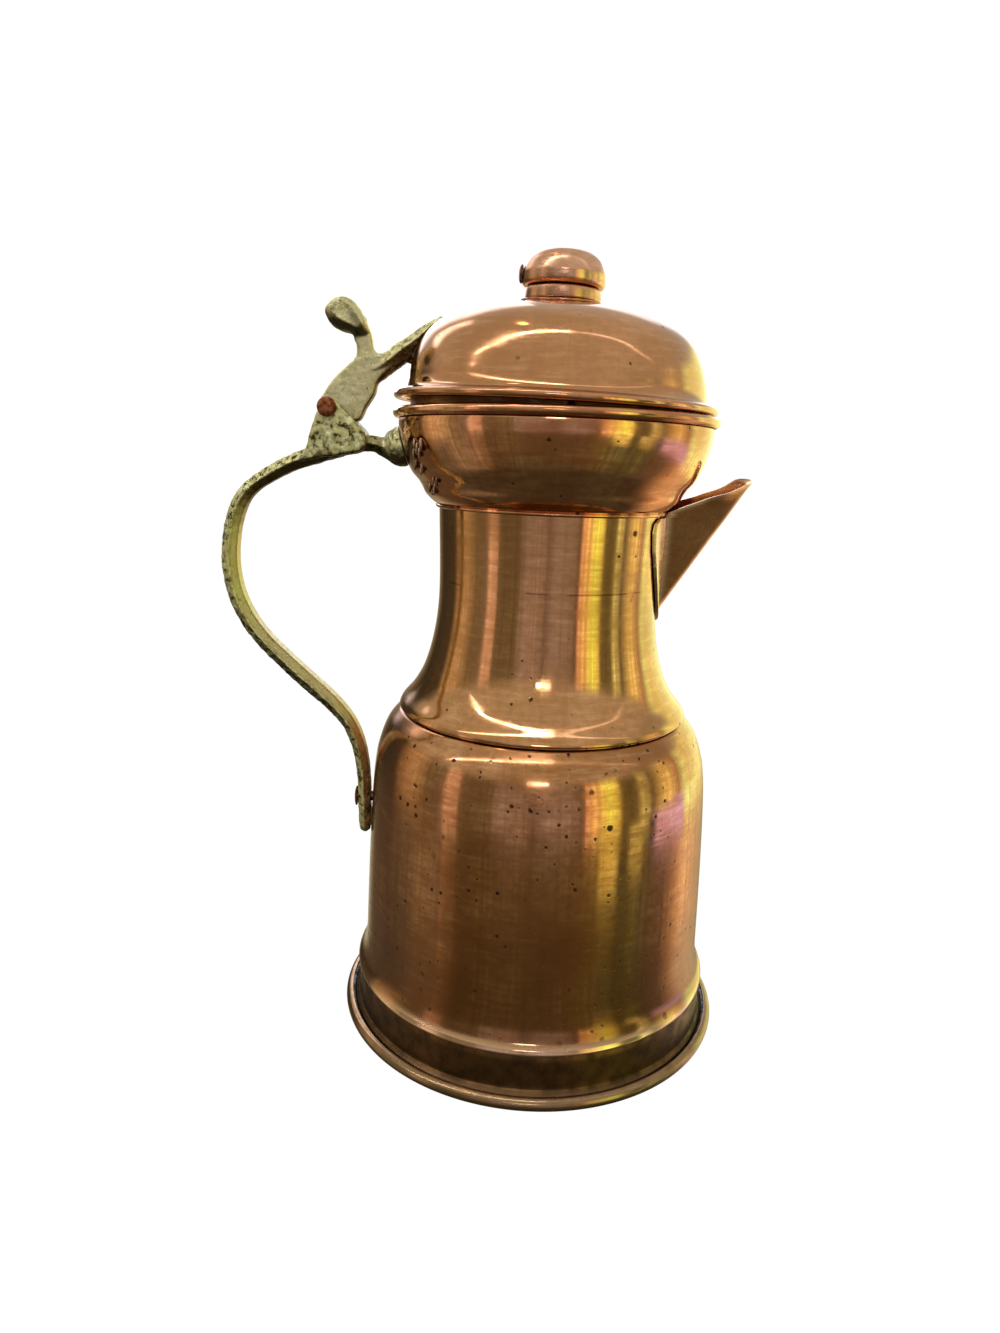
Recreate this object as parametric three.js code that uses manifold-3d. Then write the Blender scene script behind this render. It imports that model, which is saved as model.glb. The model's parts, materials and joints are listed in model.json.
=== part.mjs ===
// A lidded copper jug, 24 cm tall: spun copper shells that lap into each other, wired beads
// rolled at the foot, the rim and the lid, a folded beak spout, and a cast brass handle whose
// two ears carry the lid's lever on a peened pin.
// Millimetres, +Z up. The handle is in -X, the spout in +X, and the foot stands on z = 0.
import * as THREE from "three";
import { mergeVertices } from "three/addons/utils/BufferGeometryUtils.js";
import Module from "manifold-3d";

const wasm = await Module();
wasm.setup();
const { degToRad, lerp, radToDeg, smoothstep } = THREE.MathUtils;

// Sheet and fits
const SHEET = 0.7;
const SEAT_GAP = 0.3;
const WIRE_GAP = 0.15;
const PIN_GAP = 0.3;

// Foot: the band, the bead that it stands on, and the disc inside it
const FOOT_BAND_R = 57.5;
const FOOT_H = 15.2;
const FOOT_BEAD = 2.1;
const FOOT_BEAD_OUT = 4.5;
const DISC_LIFT = 0.5;
const DISC_FLANGE_H = 6;
const DISC_CORNER = 0.7;

// Body: its stepped lower edge, the wall from the belly up, and the rounded shoulder
const STEP_OUT = 0.4;
const STEP_EDGE_H = 0.8;
const BELLY_R = 55.1;
const BELLY_RISE = 11.8;
const WALL_H = 59.3;
const WALL_TAPER = 2.7;
const SHOULDER_R = 45.3;
const SHOULDER_H = 15.2;
const SHOULDER_LAP = 2.8;

// Neck: the flare over the shoulder and the nearly straight part above it
const NECK_R = 33.6;
const NECK_FLARE_H = 42.5;
const NECK_STRAIGHT_H = 20.2;
const NECK_SPREAD = 0.5;
const NECK_LAP = 3.3;

// Mouth bowl and its wired rim
const COLLAR_H = 1.2;
const BOWL_WALL_R = 46.7;
const BOWL_H = 26.9;
const RIM_BEAD = 1.45;
const RIM_BEAD_OUT = 1.7;

// Lid: the wired edge, the dome, its slight lean, and the bezel that keeps it in the mouth
const LID_INSET = 0.6;
const LID_BEAD = 1.25;
const LID_SHIFT = -0.4;
const LID_LEAN_SPOUTWARD = 0.0215;
const LID_LEAN_FORWARD = 0.015;
const DOME_H = 28.15;
const BEZEL_RISE = 5.45;
const BEZEL_DEPTH = 6.2;

// Knob: a collar whose tenon and stem carry the cap, with a rivet through the cap's side
const KNOB_COLLAR_R = 11.2;
const KNOB_COLLAR_H = 3.5;
const KNOB_R = 12.15;
const KNOB_CAP_H = 10.8;
const KNOB_TENON_R = 7.5;
const KNOB_TENON_H = 6.1;
const KNOB_STEM_R = 3.4;
const KNOB_PEEN_H = 1.4;
const KNOB_WASHER_R = 7;
const KNOB_RIVET_UP = 3.5;
const KNOB_RIVET_R = 1.1;
const KNOB_RIVET_HEAD_R = 2.6;
const KNOB_RIVET_HEAD_H = 1.2;
const KNOB_RIVET_BITE = 2.4;

// Spout: the keel's foot and tip and the ends of the open edge, as distances out from the neck
// and up from the collar; then the fold and the flange
const KEEL_FOOT = [2.7, -28.5];
const KEEL_TIP = [27.3, 9.5];
const EDGE_ROOT = [-0.6, 1.1];
const EDGE_TIP = [27.4, 10.5];
const BEAK_HALF_ANGLE = degToRad(32.5);
const BEAK_FOLD_R = 2.4;
const BEAK_SIDE = 34;
const BEAK_OVERRUN = 15;
const HOLE_MARGIN = 2.5;
const FLANGE_SHEET = 0.8;
const FLANGE_DROP = 0.4;
const FLANGE_H = 32.8;
const FLANGE_HALF_WIDTH = 20.6;
const FLANGE_CORNER = 3;

// Hinge: ears on the handle, the lever's knuckle between them, and the pin
const HINGE_OUT = 20.3;
const HINGE_UP = 0.6;
const PIN_R = 1.4;
const PIN_HEAD_R = 2.8;
const PIN_HEAD_H = 1.4;
const EAR_RIM = 0.1;
const LUG_WIDTH = 14;
const SLOT_DEPTH = 4.1;
const SLOT_REACH = 20;
const LEVER_WIDTH = 6.4;
const LEVER_GAP = 0.35;
const KNUCKLE_R = 3.2;

// Lever: the thumb piece as half sizes of its bean, its place from the pin, and the arm on the dome
const THUMB_HALF = [7, 5.5, 4.3];
const THUMB_AT = [4.3, 26.5];
const THUMB_TILT = degToRad(-14);
const ARM_WIDTH = 9.4;
const ARM_ROOT = 5;
const ARM_RIVET_R = 1;
const ARM_RIVET_HEAD_R = 1.9;
const ARM_RIVET_HEAD_H = 1;
const ARM_RIVET_BITE = 2;
const ARM_RIVET_SEAT = 0.55;

// Handle: strap and ball, and what fastens them
const STRAP_WIDTH = 8.4;
const TAIL_WIDTH = 10;
const TAIL_THICKNESS = 4.1;
const TAIL_OUT = 2.7;
const BALL_R = 6.1;
const BALL_DROP = 9.6;
const TAIL_RIVET_DROP = 16.3;
const STUD_R = 1.6;
const STUD_REACH = 3.4;
const STUD_SPARE = 1;
const STUD_HEAD_R = 3.4;
const TAIL_PEEN_R = 2.8;
const TAIL_PEEN_H = 1.2;
const RIVET_HEAD_H = 1.5;
const TAIL_HEAD_H = 0.9;
const WASHER_R = 3.9;
const WASHER_SEAT = 0.8;
const WASHER_T = 0.8;

// Facets round a full turn, and steps along the curved lines
const ROUND = 28;
const KNOB_ROUND = 20;
const SMALL_ROUND = 12;
const BALL_ROUND = 14;
const BALL_RINGS = 10;
const BEAD_STEPS = 7;
const WIRE_SIDES = 5;
const FOLD_STEPS = 4;
const STRAP_RINGS = 36;
const FULL_TURN = 360;
const HALF_TURN = 180;

// Degrees that a sheet is rolled round its wire, and where each roll starts
const BEAD_ROLL = 315;
const FOOT_ROLL_START = 90;
const RIM_ROLL_START = 240;
const LID_ROLL_END = 90;

// Colours and finishes
const FINISHES = {
  copper: { color: 0xb4713f, roughness: 0.32, metalness: 1 },
  dark_copper: { color: 0x4a3018, roughness: 0.5, metalness: 1 },
  brass: { color: 0xa8873e, roughness: 0.45, metalness: 1 },
  pin_copper: { color: 0x8e4a2a, roughness: 0.5, metalness: 1 },
  iron: { color: 0x5c5a57, roughness: 0.6, metalness: 1 },
};

// Places that follow from the sizes, from the foot up, as [radius, z]
const FOOT_R = FOOT_BAND_R + FOOT_BEAD_OUT;
const footBead = [FOOT_R - FOOT_BEAD, FOOT_BEAD];
const step = [FOOT_BAND_R + STEP_OUT, FOOT_H];
const belly = [BELLY_R, FOOT_H + BELLY_RISE];
const turn = [BELLY_R - WALL_TAPER, belly[1] + WALL_H];
const shoulder = [SHOULDER_R, turn[1] + SHOULDER_H];
const waist = [NECK_R, shoulder[1] + NECK_FLARE_H];
const neckTopR = NECK_R + NECK_SPREAD;
const collar = [neckTopR + SHEET + SEAT_GAP, waist[1] + NECK_STRAIGHT_H];
const rimZ = collar[1] + BOWL_H;
const rimR = BOWL_WALL_R + RIM_BEAD_OUT;
const bowlTop = [BOWL_WALL_R, rimZ - 2 * RIM_BEAD];
const rimBead = [rimR - RIM_BEAD, rimZ];
const lidR = rimR - LID_INSET;
const lidDip = lidR * Math.hypot(LID_LEAN_SPOUTWARD, LID_LEAN_FORWARD);
const lidZ = rimZ + RIM_BEAD + LID_BEAD + SEAT_GAP + lidDip;
const lidBead = [lidR - LID_BEAD, lidZ];
const domeTopZ = lidZ + DOME_H;
const creaseZ = domeTopZ + SEAT_GAP + KNOB_COLLAR_H;
const hinge = [BOWL_WALL_R + HINGE_OUT, rimZ + HINGE_UP];
const ballZ = rimZ - BALL_DROP;
const tailRivetZ = turn[1] - TAIL_RIVET_DROP;

// A closed geometry as a solid, without the slivers that a revolved pole leaves
function toSolid(geometry) {
  const bare = geometry.clone();
  bare.deleteAttribute("normal");
  bare.deleteAttribute("uv");
  const merged = mergeVertices(bare, 1e-4);
  const kept = [];
  const corners = merged.index.array;
  for (let i = 0; i < corners.length; i += 3) {
    const [a, b, c] = corners.slice(i, i + 3);
    if (a !== b && b !== c && c !== a) kept.push(a, b, c);
  }
  return new wasm.Manifold(
    new wasm.Mesh({
      numProp: 3,
      vertProperties: Float32Array.from(merged.attributes.position.array),
      triVerts: Uint32Array.from(kept),
    }),
  );
}

function toGeometry(solid) {
  const made = solid.getMesh();
  const geometry = new THREE.BufferGeometry();
  geometry.setAttribute("position", new THREE.BufferAttribute(made.vertProperties, made.numProp));
  geometry.setIndex(new THREE.BufferAttribute(made.triVerts, 1));
  return geometry;
}

// A line of [radius, z] points moved sideways: to its right where distance is positive
function offset(line, distance) {
  return line.map(([r, z], i) => {
    const [r0, z0] = line[Math.max(i - 1, 0)];
    const [r1, z1] = line[Math.min(i + 1, line.length - 1)];
    const length = Math.hypot(r1 - r0, z1 - z0);
    return [r + ((z1 - z0) / length) * distance, z - ((r1 - r0) / length) * distance];
  });
}

// The closed section of a sheet whose middle runs along a line
function sheetAlong(middle, thickness = SHEET) {
  return [...offset(middle, thickness / 2), ...offset(middle, -thickness / 2).reverse()];
}

// The middle of a sheet from the line of its outer face
const middleOf = (outer) => offset(outer, -SHEET / 2);

// A place between two corners, as a share of the way across and a share of the way up
const between = ([r0, z0], [r1, z1], across, up) => [lerp(r0, r1, across), lerp(z0, z1, up)];

function curveThrough(points, steps) {
  const curve = new THREE.SplineCurve(points.map(([r, z]) => new THREE.Vector2(r, z)));
  return curve.getPoints(steps).map((p) => [p.x, p.y]);
}

// Points on an arc, both ends included; angles in degrees from the +radius direction
function arc([r, z], radius, from, to, steps) {
  return Array.from({ length: steps + 1 }, (_, i) => {
    const angle = degToRad(lerp(from, to, i / steps));
    return [r + radius * Math.cos(angle), z + radius * Math.sin(angle)];
  });
}

// Where a rising line is at a height: its radius, and the angle that it leans outwards
function wallAt(line, height) {
  const i = line.findIndex(([, z], k) => k > 0 && z >= height);
  const [[r0, z0], [r1, z1]] = [line[i - 1], line[i]];
  return { r: lerp(r0, r1, (height - z0) / (z1 - z0)), lean: Math.atan2(r1 - r0, z1 - z0) };
}

// The point at a share of a line's length, moved off its outer face, and the line's direction there
function beside(line, share, distance) {
  const path = new THREE.CurvePath();
  for (let i = 1; i < line.length; i += 1) {
    path.add(new THREE.LineCurve(new THREE.Vector2(...line[i - 1]), new THREE.Vector2(...line[i])));
  }
  const at = path.getPointAt(share);
  const along = path.getTangentAt(share);
  return { place: [at.x + along.y * distance, at.y - along.x * distance], along };
}

// An outline of [radius, z] points turned round the Z axis
function revolve(outline, segments = ROUND, matrix = new THREE.Matrix4()) {
  const points = [...outline, outline[0]].map(([r, z]) => new THREE.Vector2(Math.max(r, 0), z));
  const turned = new THREE.LatheGeometry(points, segments).rotateX(Math.PI / 2);
  return toSolid(turned.applyMatrix4(matrix));
}

// An outline in the XZ plane, given as [distance from the axis towards the handle, z], made solid
// over a width
function plate(outline, width, matrix = new THREE.Matrix4()) {
  const shape = new THREE.Shape(outline.map(([r, z]) => new THREE.Vector2(-r, z)));
  const slab = new THREE.ExtrudeGeometry(shape, { depth: width, bevelEnabled: false });
  return toSolid(slab.rotateX(Math.PI / 2).translate(0, width / 2, 0).applyMatrix4(matrix));
}

// Sections of equal length joined into one closed tube, with flat ends
function loft(sections) {
  const count = sections[0].length;
  const positions = sections.flat().flatMap((p) => [p.x, p.y, p.z]);
  const index = [];
  for (let s = 0; s + 1 < sections.length; s += 1) {
    for (let i = 0; i < count; i += 1) {
      const a = s * count + i;
      const b = s * count + ((i + 1) % count);
      index.push(a, b + count, b, a, a + count, b + count);
    }
  }
  const last = (sections.length - 1) * count;
  for (let i = 1; i + 1 < count; i += 1) {
    index.push(0, i, i + 1);
    index.push(last, last + i + 1, last + i);
  }
  const geometry = new THREE.BufferGeometry();
  geometry.setAttribute("position", new THREE.Float32BufferAttribute(positions, 3));
  geometry.setIndex(index);
  return toSolid(geometry);
}

// The frame of a piece turned round an axis: its Z axis points along a direction from a point
function aim([x, y, z], [dx, dy, dz]) {
  const direction = new THREE.Vector3(dx, dy, dz).normalize();
  const turned = new THREE.Quaternion().setFromUnitVectors(new THREE.Vector3(0, 0, 1), direction);
  return new THREE.Matrix4().compose(new THREE.Vector3(x, y, z), turned, new THREE.Vector3(1, 1, 1));
}

const moved = (place, z) => place.clone().multiply(new THREE.Matrix4().makeTranslation(0, 0, z));
const flipped = (place) => place.clone().multiply(new THREE.Matrix4().makeRotationX(Math.PI));

function rod(radius, from, to, matrix) {
  return revolve([[0, from], [radius, from], [radius, to], [0, to]], SMALL_ROUND, matrix);
}

// A rivet along +Z: a domed head that starts at z = grip, and below z = 0 a flatter peened end,
// or none
function rivet({ shankR, headR, headH, grip, peenR = 0, peenH = 0 }, matrix) {
  const peen = [[peenR * 0.75, -peenH], [peenR, -peenH * 0.4], [peenR, 0]];
  const outline = [
    [0, -peenH],
    ...(peenR > 0 ? peen : []),
    [shankR, 0],
    [shankR, grip],
    [headR, grip],
    [headR, grip + headH * 0.3],
    [headR * 0.75, grip + headH * 0.8],
    [0, grip + headH],
  ];
  return revolve(outline, SMALL_ROUND, matrix);
}

function washer(boreR, outerR, from, matrix) {
  const to = from + WASHER_T;
  return revolve([[boreR, from], [outerR, from], [outerR, to], [boreR, to]], SMALL_ROUND, matrix);
}

function wireIn(centre, bead) {
  const lastCorner = FULL_TURN - FULL_TURN / WIRE_SIDES;
  return revolve(arc(centre, bead - SHEET - WIRE_GAP, 0, lastCorner, WIRE_SIDES - 1));
}

function beadRoll(centre, bead, from, to) {
  return arc(centre, bead - SHEET / 2, from, to, BEAD_STEPS);
}

// Outer face lines of the shells
const stepLine = [
  step,
  [step[0], step[1] + STEP_EDGE_H],
  ...curveThrough(
    [
      between(step, belly, 0.18, 0.136),
      between(step, belly, 0.536, 0.314),
      between(step, belly, 0.82, 0.576),
      belly,
    ],
    3,
  ),
];
const bodyLine = [
  ...stepLine,
  ...curveThrough(
    [
      belly,
      between(belly, turn, 0.22, 0.42),
      between(belly, turn, 0.63, 0.83),
      turn,
      between(turn, shoulder, 0.14, 0.29),
      between(turn, shoulder, 0.34, 0.566),
      between(turn, shoulder, 0.59, 0.783),
      between(turn, shoulder, 1, 0.987),
    ],
    9,
  ).slice(1),
];
const lapR = SHOULDER_R - SHEET - SEAT_GAP;
const shoulderLap = [
  [lapR, shoulder[1] + 0.3],
  [lapR - 0.2, shoulder[1] + 1.2],
  [lapR - 1.3, shoulder[1] + SHOULDER_LAP],
];
const neckLine = [
  [SHOULDER_R, shoulder[1] + 0.7],
  [SHOULDER_R - 0.1, shoulder[1] + 1.9],
  ...curveThrough(
    [
      between(shoulder, waist, 0.085, 0.078),
      between(shoulder, waist, 0.368, 0.172),
      between(shoulder, waist, 0.641, 0.313),
      between(shoulder, waist, 0.846, 0.506),
      between(shoulder, waist, 0.974, 0.741),
      waist,
      [neckTopR, collar[1] - 1.2],
    ],
    9,
  ),
];
const neckLap = [
  [neckTopR, collar[1] - 0.4],
  [neckTopR, collar[1] + NECK_LAP],
];
const bowlLine = [
  collar,
  ...curveThrough(
    [
      [collar[0], collar[1] + COLLAR_H],
      between(collar, bowlTop, 0.172, 0.125),
      between(collar, bowlTop, 0.293, 0.2),
      between(collar, bowlTop, 0.405, 0.271),
      between(collar, bowlTop, 0.534, 0.342),
    ],
    4,
  ),
  ...curveThrough(
    [
      between(collar, bowlTop, 0.612, 0.404),
      between(collar, bowlTop, 0.733, 0.504),
      between(collar, bowlTop, 0.879, 0.696),
      between(collar, bowlTop, 0.974, 0.883),
      bowlTop,
    ],
    4,
  ),
];
const lidEdge = [lidR, lidZ];
const crown = [0, domeTopZ];
const domeLine = [
  between(lidEdge, crown, 0.0565, 0.085),
  ...curveThrough(
    [
      between(lidEdge, crown, 0.0753, 0.149),
      between(lidEdge, crown, 0.088, 0.242),
      between(lidEdge, crown, 0.117, 0.419),
      between(lidEdge, crown, 0.1715, 0.602),
      between(lidEdge, crown, 0.255, 0.741),
      between(lidEdge, crown, 0.393, 0.861),
      between(lidEdge, crown, 0.5816, 0.95),
      [KNOB_COLLAR_R, domeTopZ - 0.2],
      [KNOB_STEM_R + SEAT_GAP, domeTopZ],
    ],
    9,
  ),
];

// The room that a shell takes up, grown by the gap that its neighbours keep
function roomOf(line, matrix) {
  const grown = offset(line, SEAT_GAP);
  const low = grown[0][1] - SEAT_GAP;
  const high = grown[grown.length - 1][1] + SEAT_GAP;
  return revolve([[0, low], [grown[0][0], low], ...grown, [0, high]], ROUND, matrix);
}

const lidSeat = new THREE.Matrix4()
  .makeTranslation(LID_SHIFT, 0, lidZ)
  .multiply(new THREE.Matrix4().makeRotationY(LID_LEAN_SPOUTWARD))
  .multiply(new THREE.Matrix4().makeRotationX(LID_LEAN_FORWARD))
  .multiply(new THREE.Matrix4().makeTranslation(0, 0, -lidZ));
const bowlRoom = roomOf([...bowlLine, [rimR, rimZ - 1]]);
const bodyRoom = roomOf(bodyLine);
const neckRoom = roomOf([...neckLine, ...neckLap.slice(0, 1), [neckTopR, collar[1]]]);
const domeRoom = roomOf(domeLine, lidSeat);

// Foot
function footRing() {
  const bandR = FOOT_BAND_R - SHEET / 2;
  const lapDepth = SHEET * 1.5 + SEAT_GAP;
  const middle = [
    ...beadRoll(footBead, FOOT_BEAD, FOOT_ROLL_START, FOOT_ROLL_START - BEAD_ROLL),
    [bandR, FOOT_BEAD * 2.4],
    [bandR, FOOT_H - SHEET - SEAT_GAP],
    [step[0] - lapDepth, FOOT_H],
    ...offset(stepLine.slice(2, 4), -lapDepth),
  ];
  return revolve(sheetAlong(middle));
}

function baseDisc() {
  const r = FOOT_BAND_R - SHEET * 1.5 - SEAT_GAP;
  const z = DISC_LIFT + SHEET / 2;
  const middle = [[0, z], [r - DISC_CORNER, z], [r, z + DISC_CORNER], [r, DISC_LIFT + DISC_FLANGE_H]];
  return revolve(sheetAlong(middle));
}

// Body, with the bore of the handle's tail rivet
const tailWall = wallAt(bodyLine, tailRivetZ);
const tailRivetAt = aim([-tailWall.r, 0, tailRivetZ], [-1, 0, 0]);
function lowerBody() {
  const shell = revolve(sheetAlong(middleOf([...bodyLine, ...shoulderLap])));
  return shell.subtract(rod(STUD_R + PIN_GAP, -WASHER_R, WASHER_R, tailRivetAt));
}

// The beak's own frame: z runs up the keel, y square to it and out of the fold
const fromCollar = ([out, up]) => [NECK_R + out, collar[1] + up];
const keelFoot = fromCollar(KEEL_FOOT);
const keelTip = fromCollar(KEEL_TIP);
const keelLength = Math.hypot(keelTip[0] - keelFoot[0], keelTip[1] - keelFoot[1]);
const keelLean = Math.atan2(keelTip[0] - keelFoot[0], keelTip[1] - keelFoot[1]);
const beakFrame = new THREE.Matrix4()
  .makeBasis(
    new THREE.Vector3(0, 1, 0),
    new THREE.Vector3(-Math.cos(keelLean), 0, Math.sin(keelLean)),
    new THREE.Vector3(Math.sin(keelLean), 0, Math.cos(keelLean)),
  )
  .setPosition(keelFoot[0], 0, keelFoot[1]);

// The beak's fold in the plane square to the keel: two straight sides and a round between them
function foldLine(inset) {
  const rise = [Math.sin(BEAK_HALF_ANGLE) * BEAK_SIDE, Math.cos(BEAK_HALF_ANGLE) * BEAK_SIDE];
  const half = radToDeg(BEAK_HALF_ANGLE);
  const round = arc([0, BEAK_FOLD_R], BEAK_FOLD_R - inset, HALF_TURN + half, FULL_TURN - half, FOLD_STEPS);
  const [left, right] = [round[0], round[FOLD_STEPS]];
  return [
    [left[0] - rise[0], left[1] + rise[1]],
    ...round,
    [right[0] + rise[0], right[1] + rise[1]],
  ];
}

function alongKeel(outline) {
  const shape = new THREE.Shape(outline.map(([u, v]) => new THREE.Vector2(u, v)));
  const depth = keelLength + 2 * BEAK_OVERRUN;
  const slab = new THREE.ExtrudeGeometry(shape, { depth, bevelEnabled: false });
  return toSolid(slab.translate(0, 0, -BEAK_OVERRUN).applyMatrix4(beakFrame));
}

const beakChannel = alongKeel(foldLine(SHEET));

// Neck, with the hole that opens it into the beak
function neck() {
  const shell = revolve(sheetAlong(middleOf([...neckLine, ...neckLap])));
  const holeH = collar[1] - keelFoot[1] - 2 * HOLE_MARGIN;
  const holeZ = (collar[1] + keelFoot[1]) / 2;
  const holeSpan = new THREE.BoxGeometry(4 * NECK_R, 4 * NECK_R, holeH).translate(0, 0, holeZ);
  return shell.subtract(beakChannel.intersect(toSolid(holeSpan)));
}

// Mouth bowl, with the bore of the stud that holds the handle's ball
const studWall = wallAt(bowlLine, ballZ);
const studAt = aim(
  [-studWall.r, 0, ballZ],
  [-Math.cos(studWall.lean), 0, -Math.sin(studWall.lean)],
);
const studBore = rod(STUD_R + PIN_GAP, -WASHER_R, STUD_REACH + STUD_SPARE, studAt);
function mouthBowl() {
  const roll = beadRoll(rimBead, RIM_BEAD, RIM_ROLL_START, RIM_ROLL_START - BEAD_ROLL);
  return revolve(sheetAlong([...middleOf(bowlLine), ...roll])).subtract(studBore);
}

// The outline of the flange, a shield with its point down: its right half, and that half mirrored
function shieldOutline() {
  const w = FLANGE_HALF_WIDTH;
  const h = FLANGE_H;
  const half = new THREE.Path();
  half.moveTo(0, 0);
  half.bezierCurveTo(w * 0.44, h * 0.03, w * 0.63, h * 0.27, w * 0.78, h * 0.47);
  half.bezierCurveTo(w * 0.87, h * 0.62, w, h * 0.75, w, h - FLANGE_CORNER);
  half.quadraticCurveTo(w, h, w - FLANGE_CORNER, h);
  const right = half.getPoints(4);
  const left = right.slice(1).map((p) => new THREE.Vector2(-p.x, p.y));
  return new THREE.Shape([...right, ...left.reverse()]);
}

// Spout: the folded beak, cut off along its open edge, and the flange soldered to the neck
function spout() {
  const beakWalls = alongKeel([...foldLine(0), ...foldLine(SHEET).reverse()]);
  const edgeRoot = fromCollar(EDGE_ROOT);
  const edgeTip = fromCollar(EDGE_TIP);
  const edgeSlope = Math.atan2(edgeTip[1] - edgeRoot[1], edgeTip[0] - edgeRoot[0]);
  const cutSize = 4 * rimR;
  const above = toSolid(
    new THREE.BoxGeometry(cutSize, cutSize, cutSize)
      .translate(0, 0, cutSize / 2)
      .rotateY(-edgeSlope)
      .translate(edgeTip[0], 0, edgeTip[1]),
  );
  const flangeMiddle = SEAT_GAP + FLANGE_SHEET / 2;
  const neckSide = offset(neckLine, flangeMiddle).slice(-6);
  const sleeveLine = [...neckSide, [neckTopR + flangeMiddle, collar[1]]];
  const sleeve = revolve(sheetAlong(sleeveLine, FLANGE_SHEET));
  const shield = toSolid(
    new THREE.ExtrudeGeometry(shieldOutline(), { depth: 2 * NECK_R, bevelEnabled: false })
      .rotateX(Math.PI / 2)
      .rotateZ(Math.PI / 2)
      .translate(0, 0, collar[1] - FLANGE_DROP - FLANGE_H),
  );
  const flange = sleeve.intersect(shield).subtract(beakChannel);
  return beakWalls.subtract(above).subtract(neckRoom).subtract(bowlRoom).add(flange);
}

// The strap's middle from the ball to the tail as [radius, z, thickness]: the upper stations hang
// on the pin, as distances out and up from it, and the lower ones on the wall at the tail rivet
const fromPin = ([inward, up]) => [hinge[0] - inward, hinge[1] + up];
const upperStations = [
  [-2.5, -11.5, 5.2],
  [4.5, -13.7, 5.2],
  [11.5, -16.3, 5.0],
  [17.8, -19.7, 4.7],
  [22.9, -23.2, 4.4],
  [26.6, -27.7, 4.7],
  [29.2, -34.7, 4.9],
  [30.4, -42.7, 5.15],
];
const lowerStations = [
  [43.4, 72, 4.9],
  [41.9, 65, 5.0],
  [38.4, 57.5, 5.0],
  [33.7, 51.2, 5.0],
  [27.4, 44.9, 5.3],
  [20.6, 38.5, 5.3],
  [13.6, 32.2, 5.0],
  [8.1, 25.7, 4.5],
  [5.1, 19, 4.3],
  [3.6, 12.3, 4.2],
  [TAIL_OUT + 0.1, 5, TAIL_THICKNESS],
  [TAIL_OUT - 0.1, -4, TAIL_THICKNESS],
  [TAIL_OUT - 0.5, -12.7, TAIL_THICKNESS * 0.73],
];
const strapStations = [
  [studWall.r + 4.8, ballZ + 0.1, 5.2],
  [studWall.r + 12.8, ballZ + 0.4, 5.2],
  ...upperStations.map(([out, up, t]) => [...fromPin([-out, up]), t]),
  ...lowerStations.map(([out, up, t]) => [tailWall.r + out, tailRivetZ + up, t]),
];

// The strap's section: flat faces, and edges that are rounded off to a narrow land
const STRAP_FLAT = 0.62;
const STRAP_EDGE = 0.4;
function strapSection([r, z, thickness], [tr, tz], width) {
  const w = width / 2;
  const t = thickness / 2;
  const corners = [
    [w, -t * STRAP_EDGE],
    [w, t * STRAP_EDGE],
    [w * STRAP_FLAT, t],
    [-w * STRAP_FLAT, t],
    [-w, t * STRAP_EDGE],
    [-w, -t * STRAP_EDGE],
    [-w * STRAP_FLAT, -t],
    [w * STRAP_FLAT, -t],
  ];
  return corners.map(([across, out]) => new THREE.Vector3(-(r - tz * out), across, z + tr * out));
}

// Shares of the strap's length over which it widens to the tail
const TAIL_WIDENS = [0.78, 0.92];
function strap() {
  const line = new THREE.CatmullRomCurve3(strapStations.map((s) => new THREE.Vector3(...s)));
  const sections = Array.from({ length: STRAP_RINGS + 1 }, (_, i) => {
    const share = i / STRAP_RINGS;
    const at = line.getPoint(share);
    const along = line.getTangent(share);
    const length = Math.hypot(along.x, along.y);
    const width = lerp(STRAP_WIDTH, TAIL_WIDTH, smoothstep(share, ...TAIL_WIDENS));
    return strapSection([at.x, at.y, at.z], [along.x / length, along.y / length], width);
  });
  return loft(sections);
}

// The lug: two ears round the pin, above a slot whose floor joins them
function lug() {
  const eye = arc([0, 0], PIN_HEAD_R + EAR_RIM, 0, HALF_TURN, 6);
  const outline = [
    [9, -11.7],
    [11.2, -7],
    [9.2, -4.7],
    [6.2, -1.4],
    [4.4, -0.2],
    ...eye,
    [-4.9, -5.9],
    [-6.8, -12.4],
    [-8, -15.2],
  ];
  const slot = [
    [SLOT_REACH, -SLOT_DEPTH],
    [SLOT_REACH, SLOT_REACH],
    [-SLOT_REACH, SLOT_REACH],
    [-SLOT_REACH, -SLOT_DEPTH],
  ];
  return plate(outline.map(fromPin), LUG_WIDTH).subtract(
    plate(slot.map(fromPin), LEVER_WIDTH + 2 * LEVER_GAP),
  );
}

const pinAt = aim([-hinge[0], 0, hinge[1]], [0, -1, 0]);
const pinBore = rod(PIN_R + PIN_GAP, -LUG_WIDTH, LUG_WIDTH, pinAt);

function handle() {
  const ball = toSolid(
    new THREE.SphereGeometry(BALL_R, BALL_ROUND, BALL_RINGS).translate(-studWall.r, 0, ballZ),
  );
  const tailBore = rod(STUD_R + PIN_GAP, -WASHER_R, 2 * WASHER_R, tailRivetAt);
  return strap()
    .add(lug())
    .add(ball)
    .subtract(bowlRoom)
    .subtract(bodyRoom)
    .subtract(studBore)
    .subtract(tailBore)
    .subtract(pinBore);
}

// Two rivets come through the dome from inside, square to its wall, under the lever's arm: their
// places are shares of the way up the dome's outer face
const ARM_RIVET_SHARES = [0.12, 0.3];
const armRivetPlaces = ARM_RIVET_SHARES.map((share) => {
  const { place, along } = beside(domeLine, share, -SHEET - ARM_RIVET_SEAT);
  return aim([-place[0], 0, place[1]], [-along.y, 0, -along.x]);
});
const armRivetReach = SHEET + ARM_RIVET_BITE + ARM_RIVET_SEAT;
const armRivetBore = (place) =>
  rod(ARM_RIVET_R + PIN_GAP, -ARM_RIVET_SEAT, armRivetReach + SEAT_GAP, place);

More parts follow.
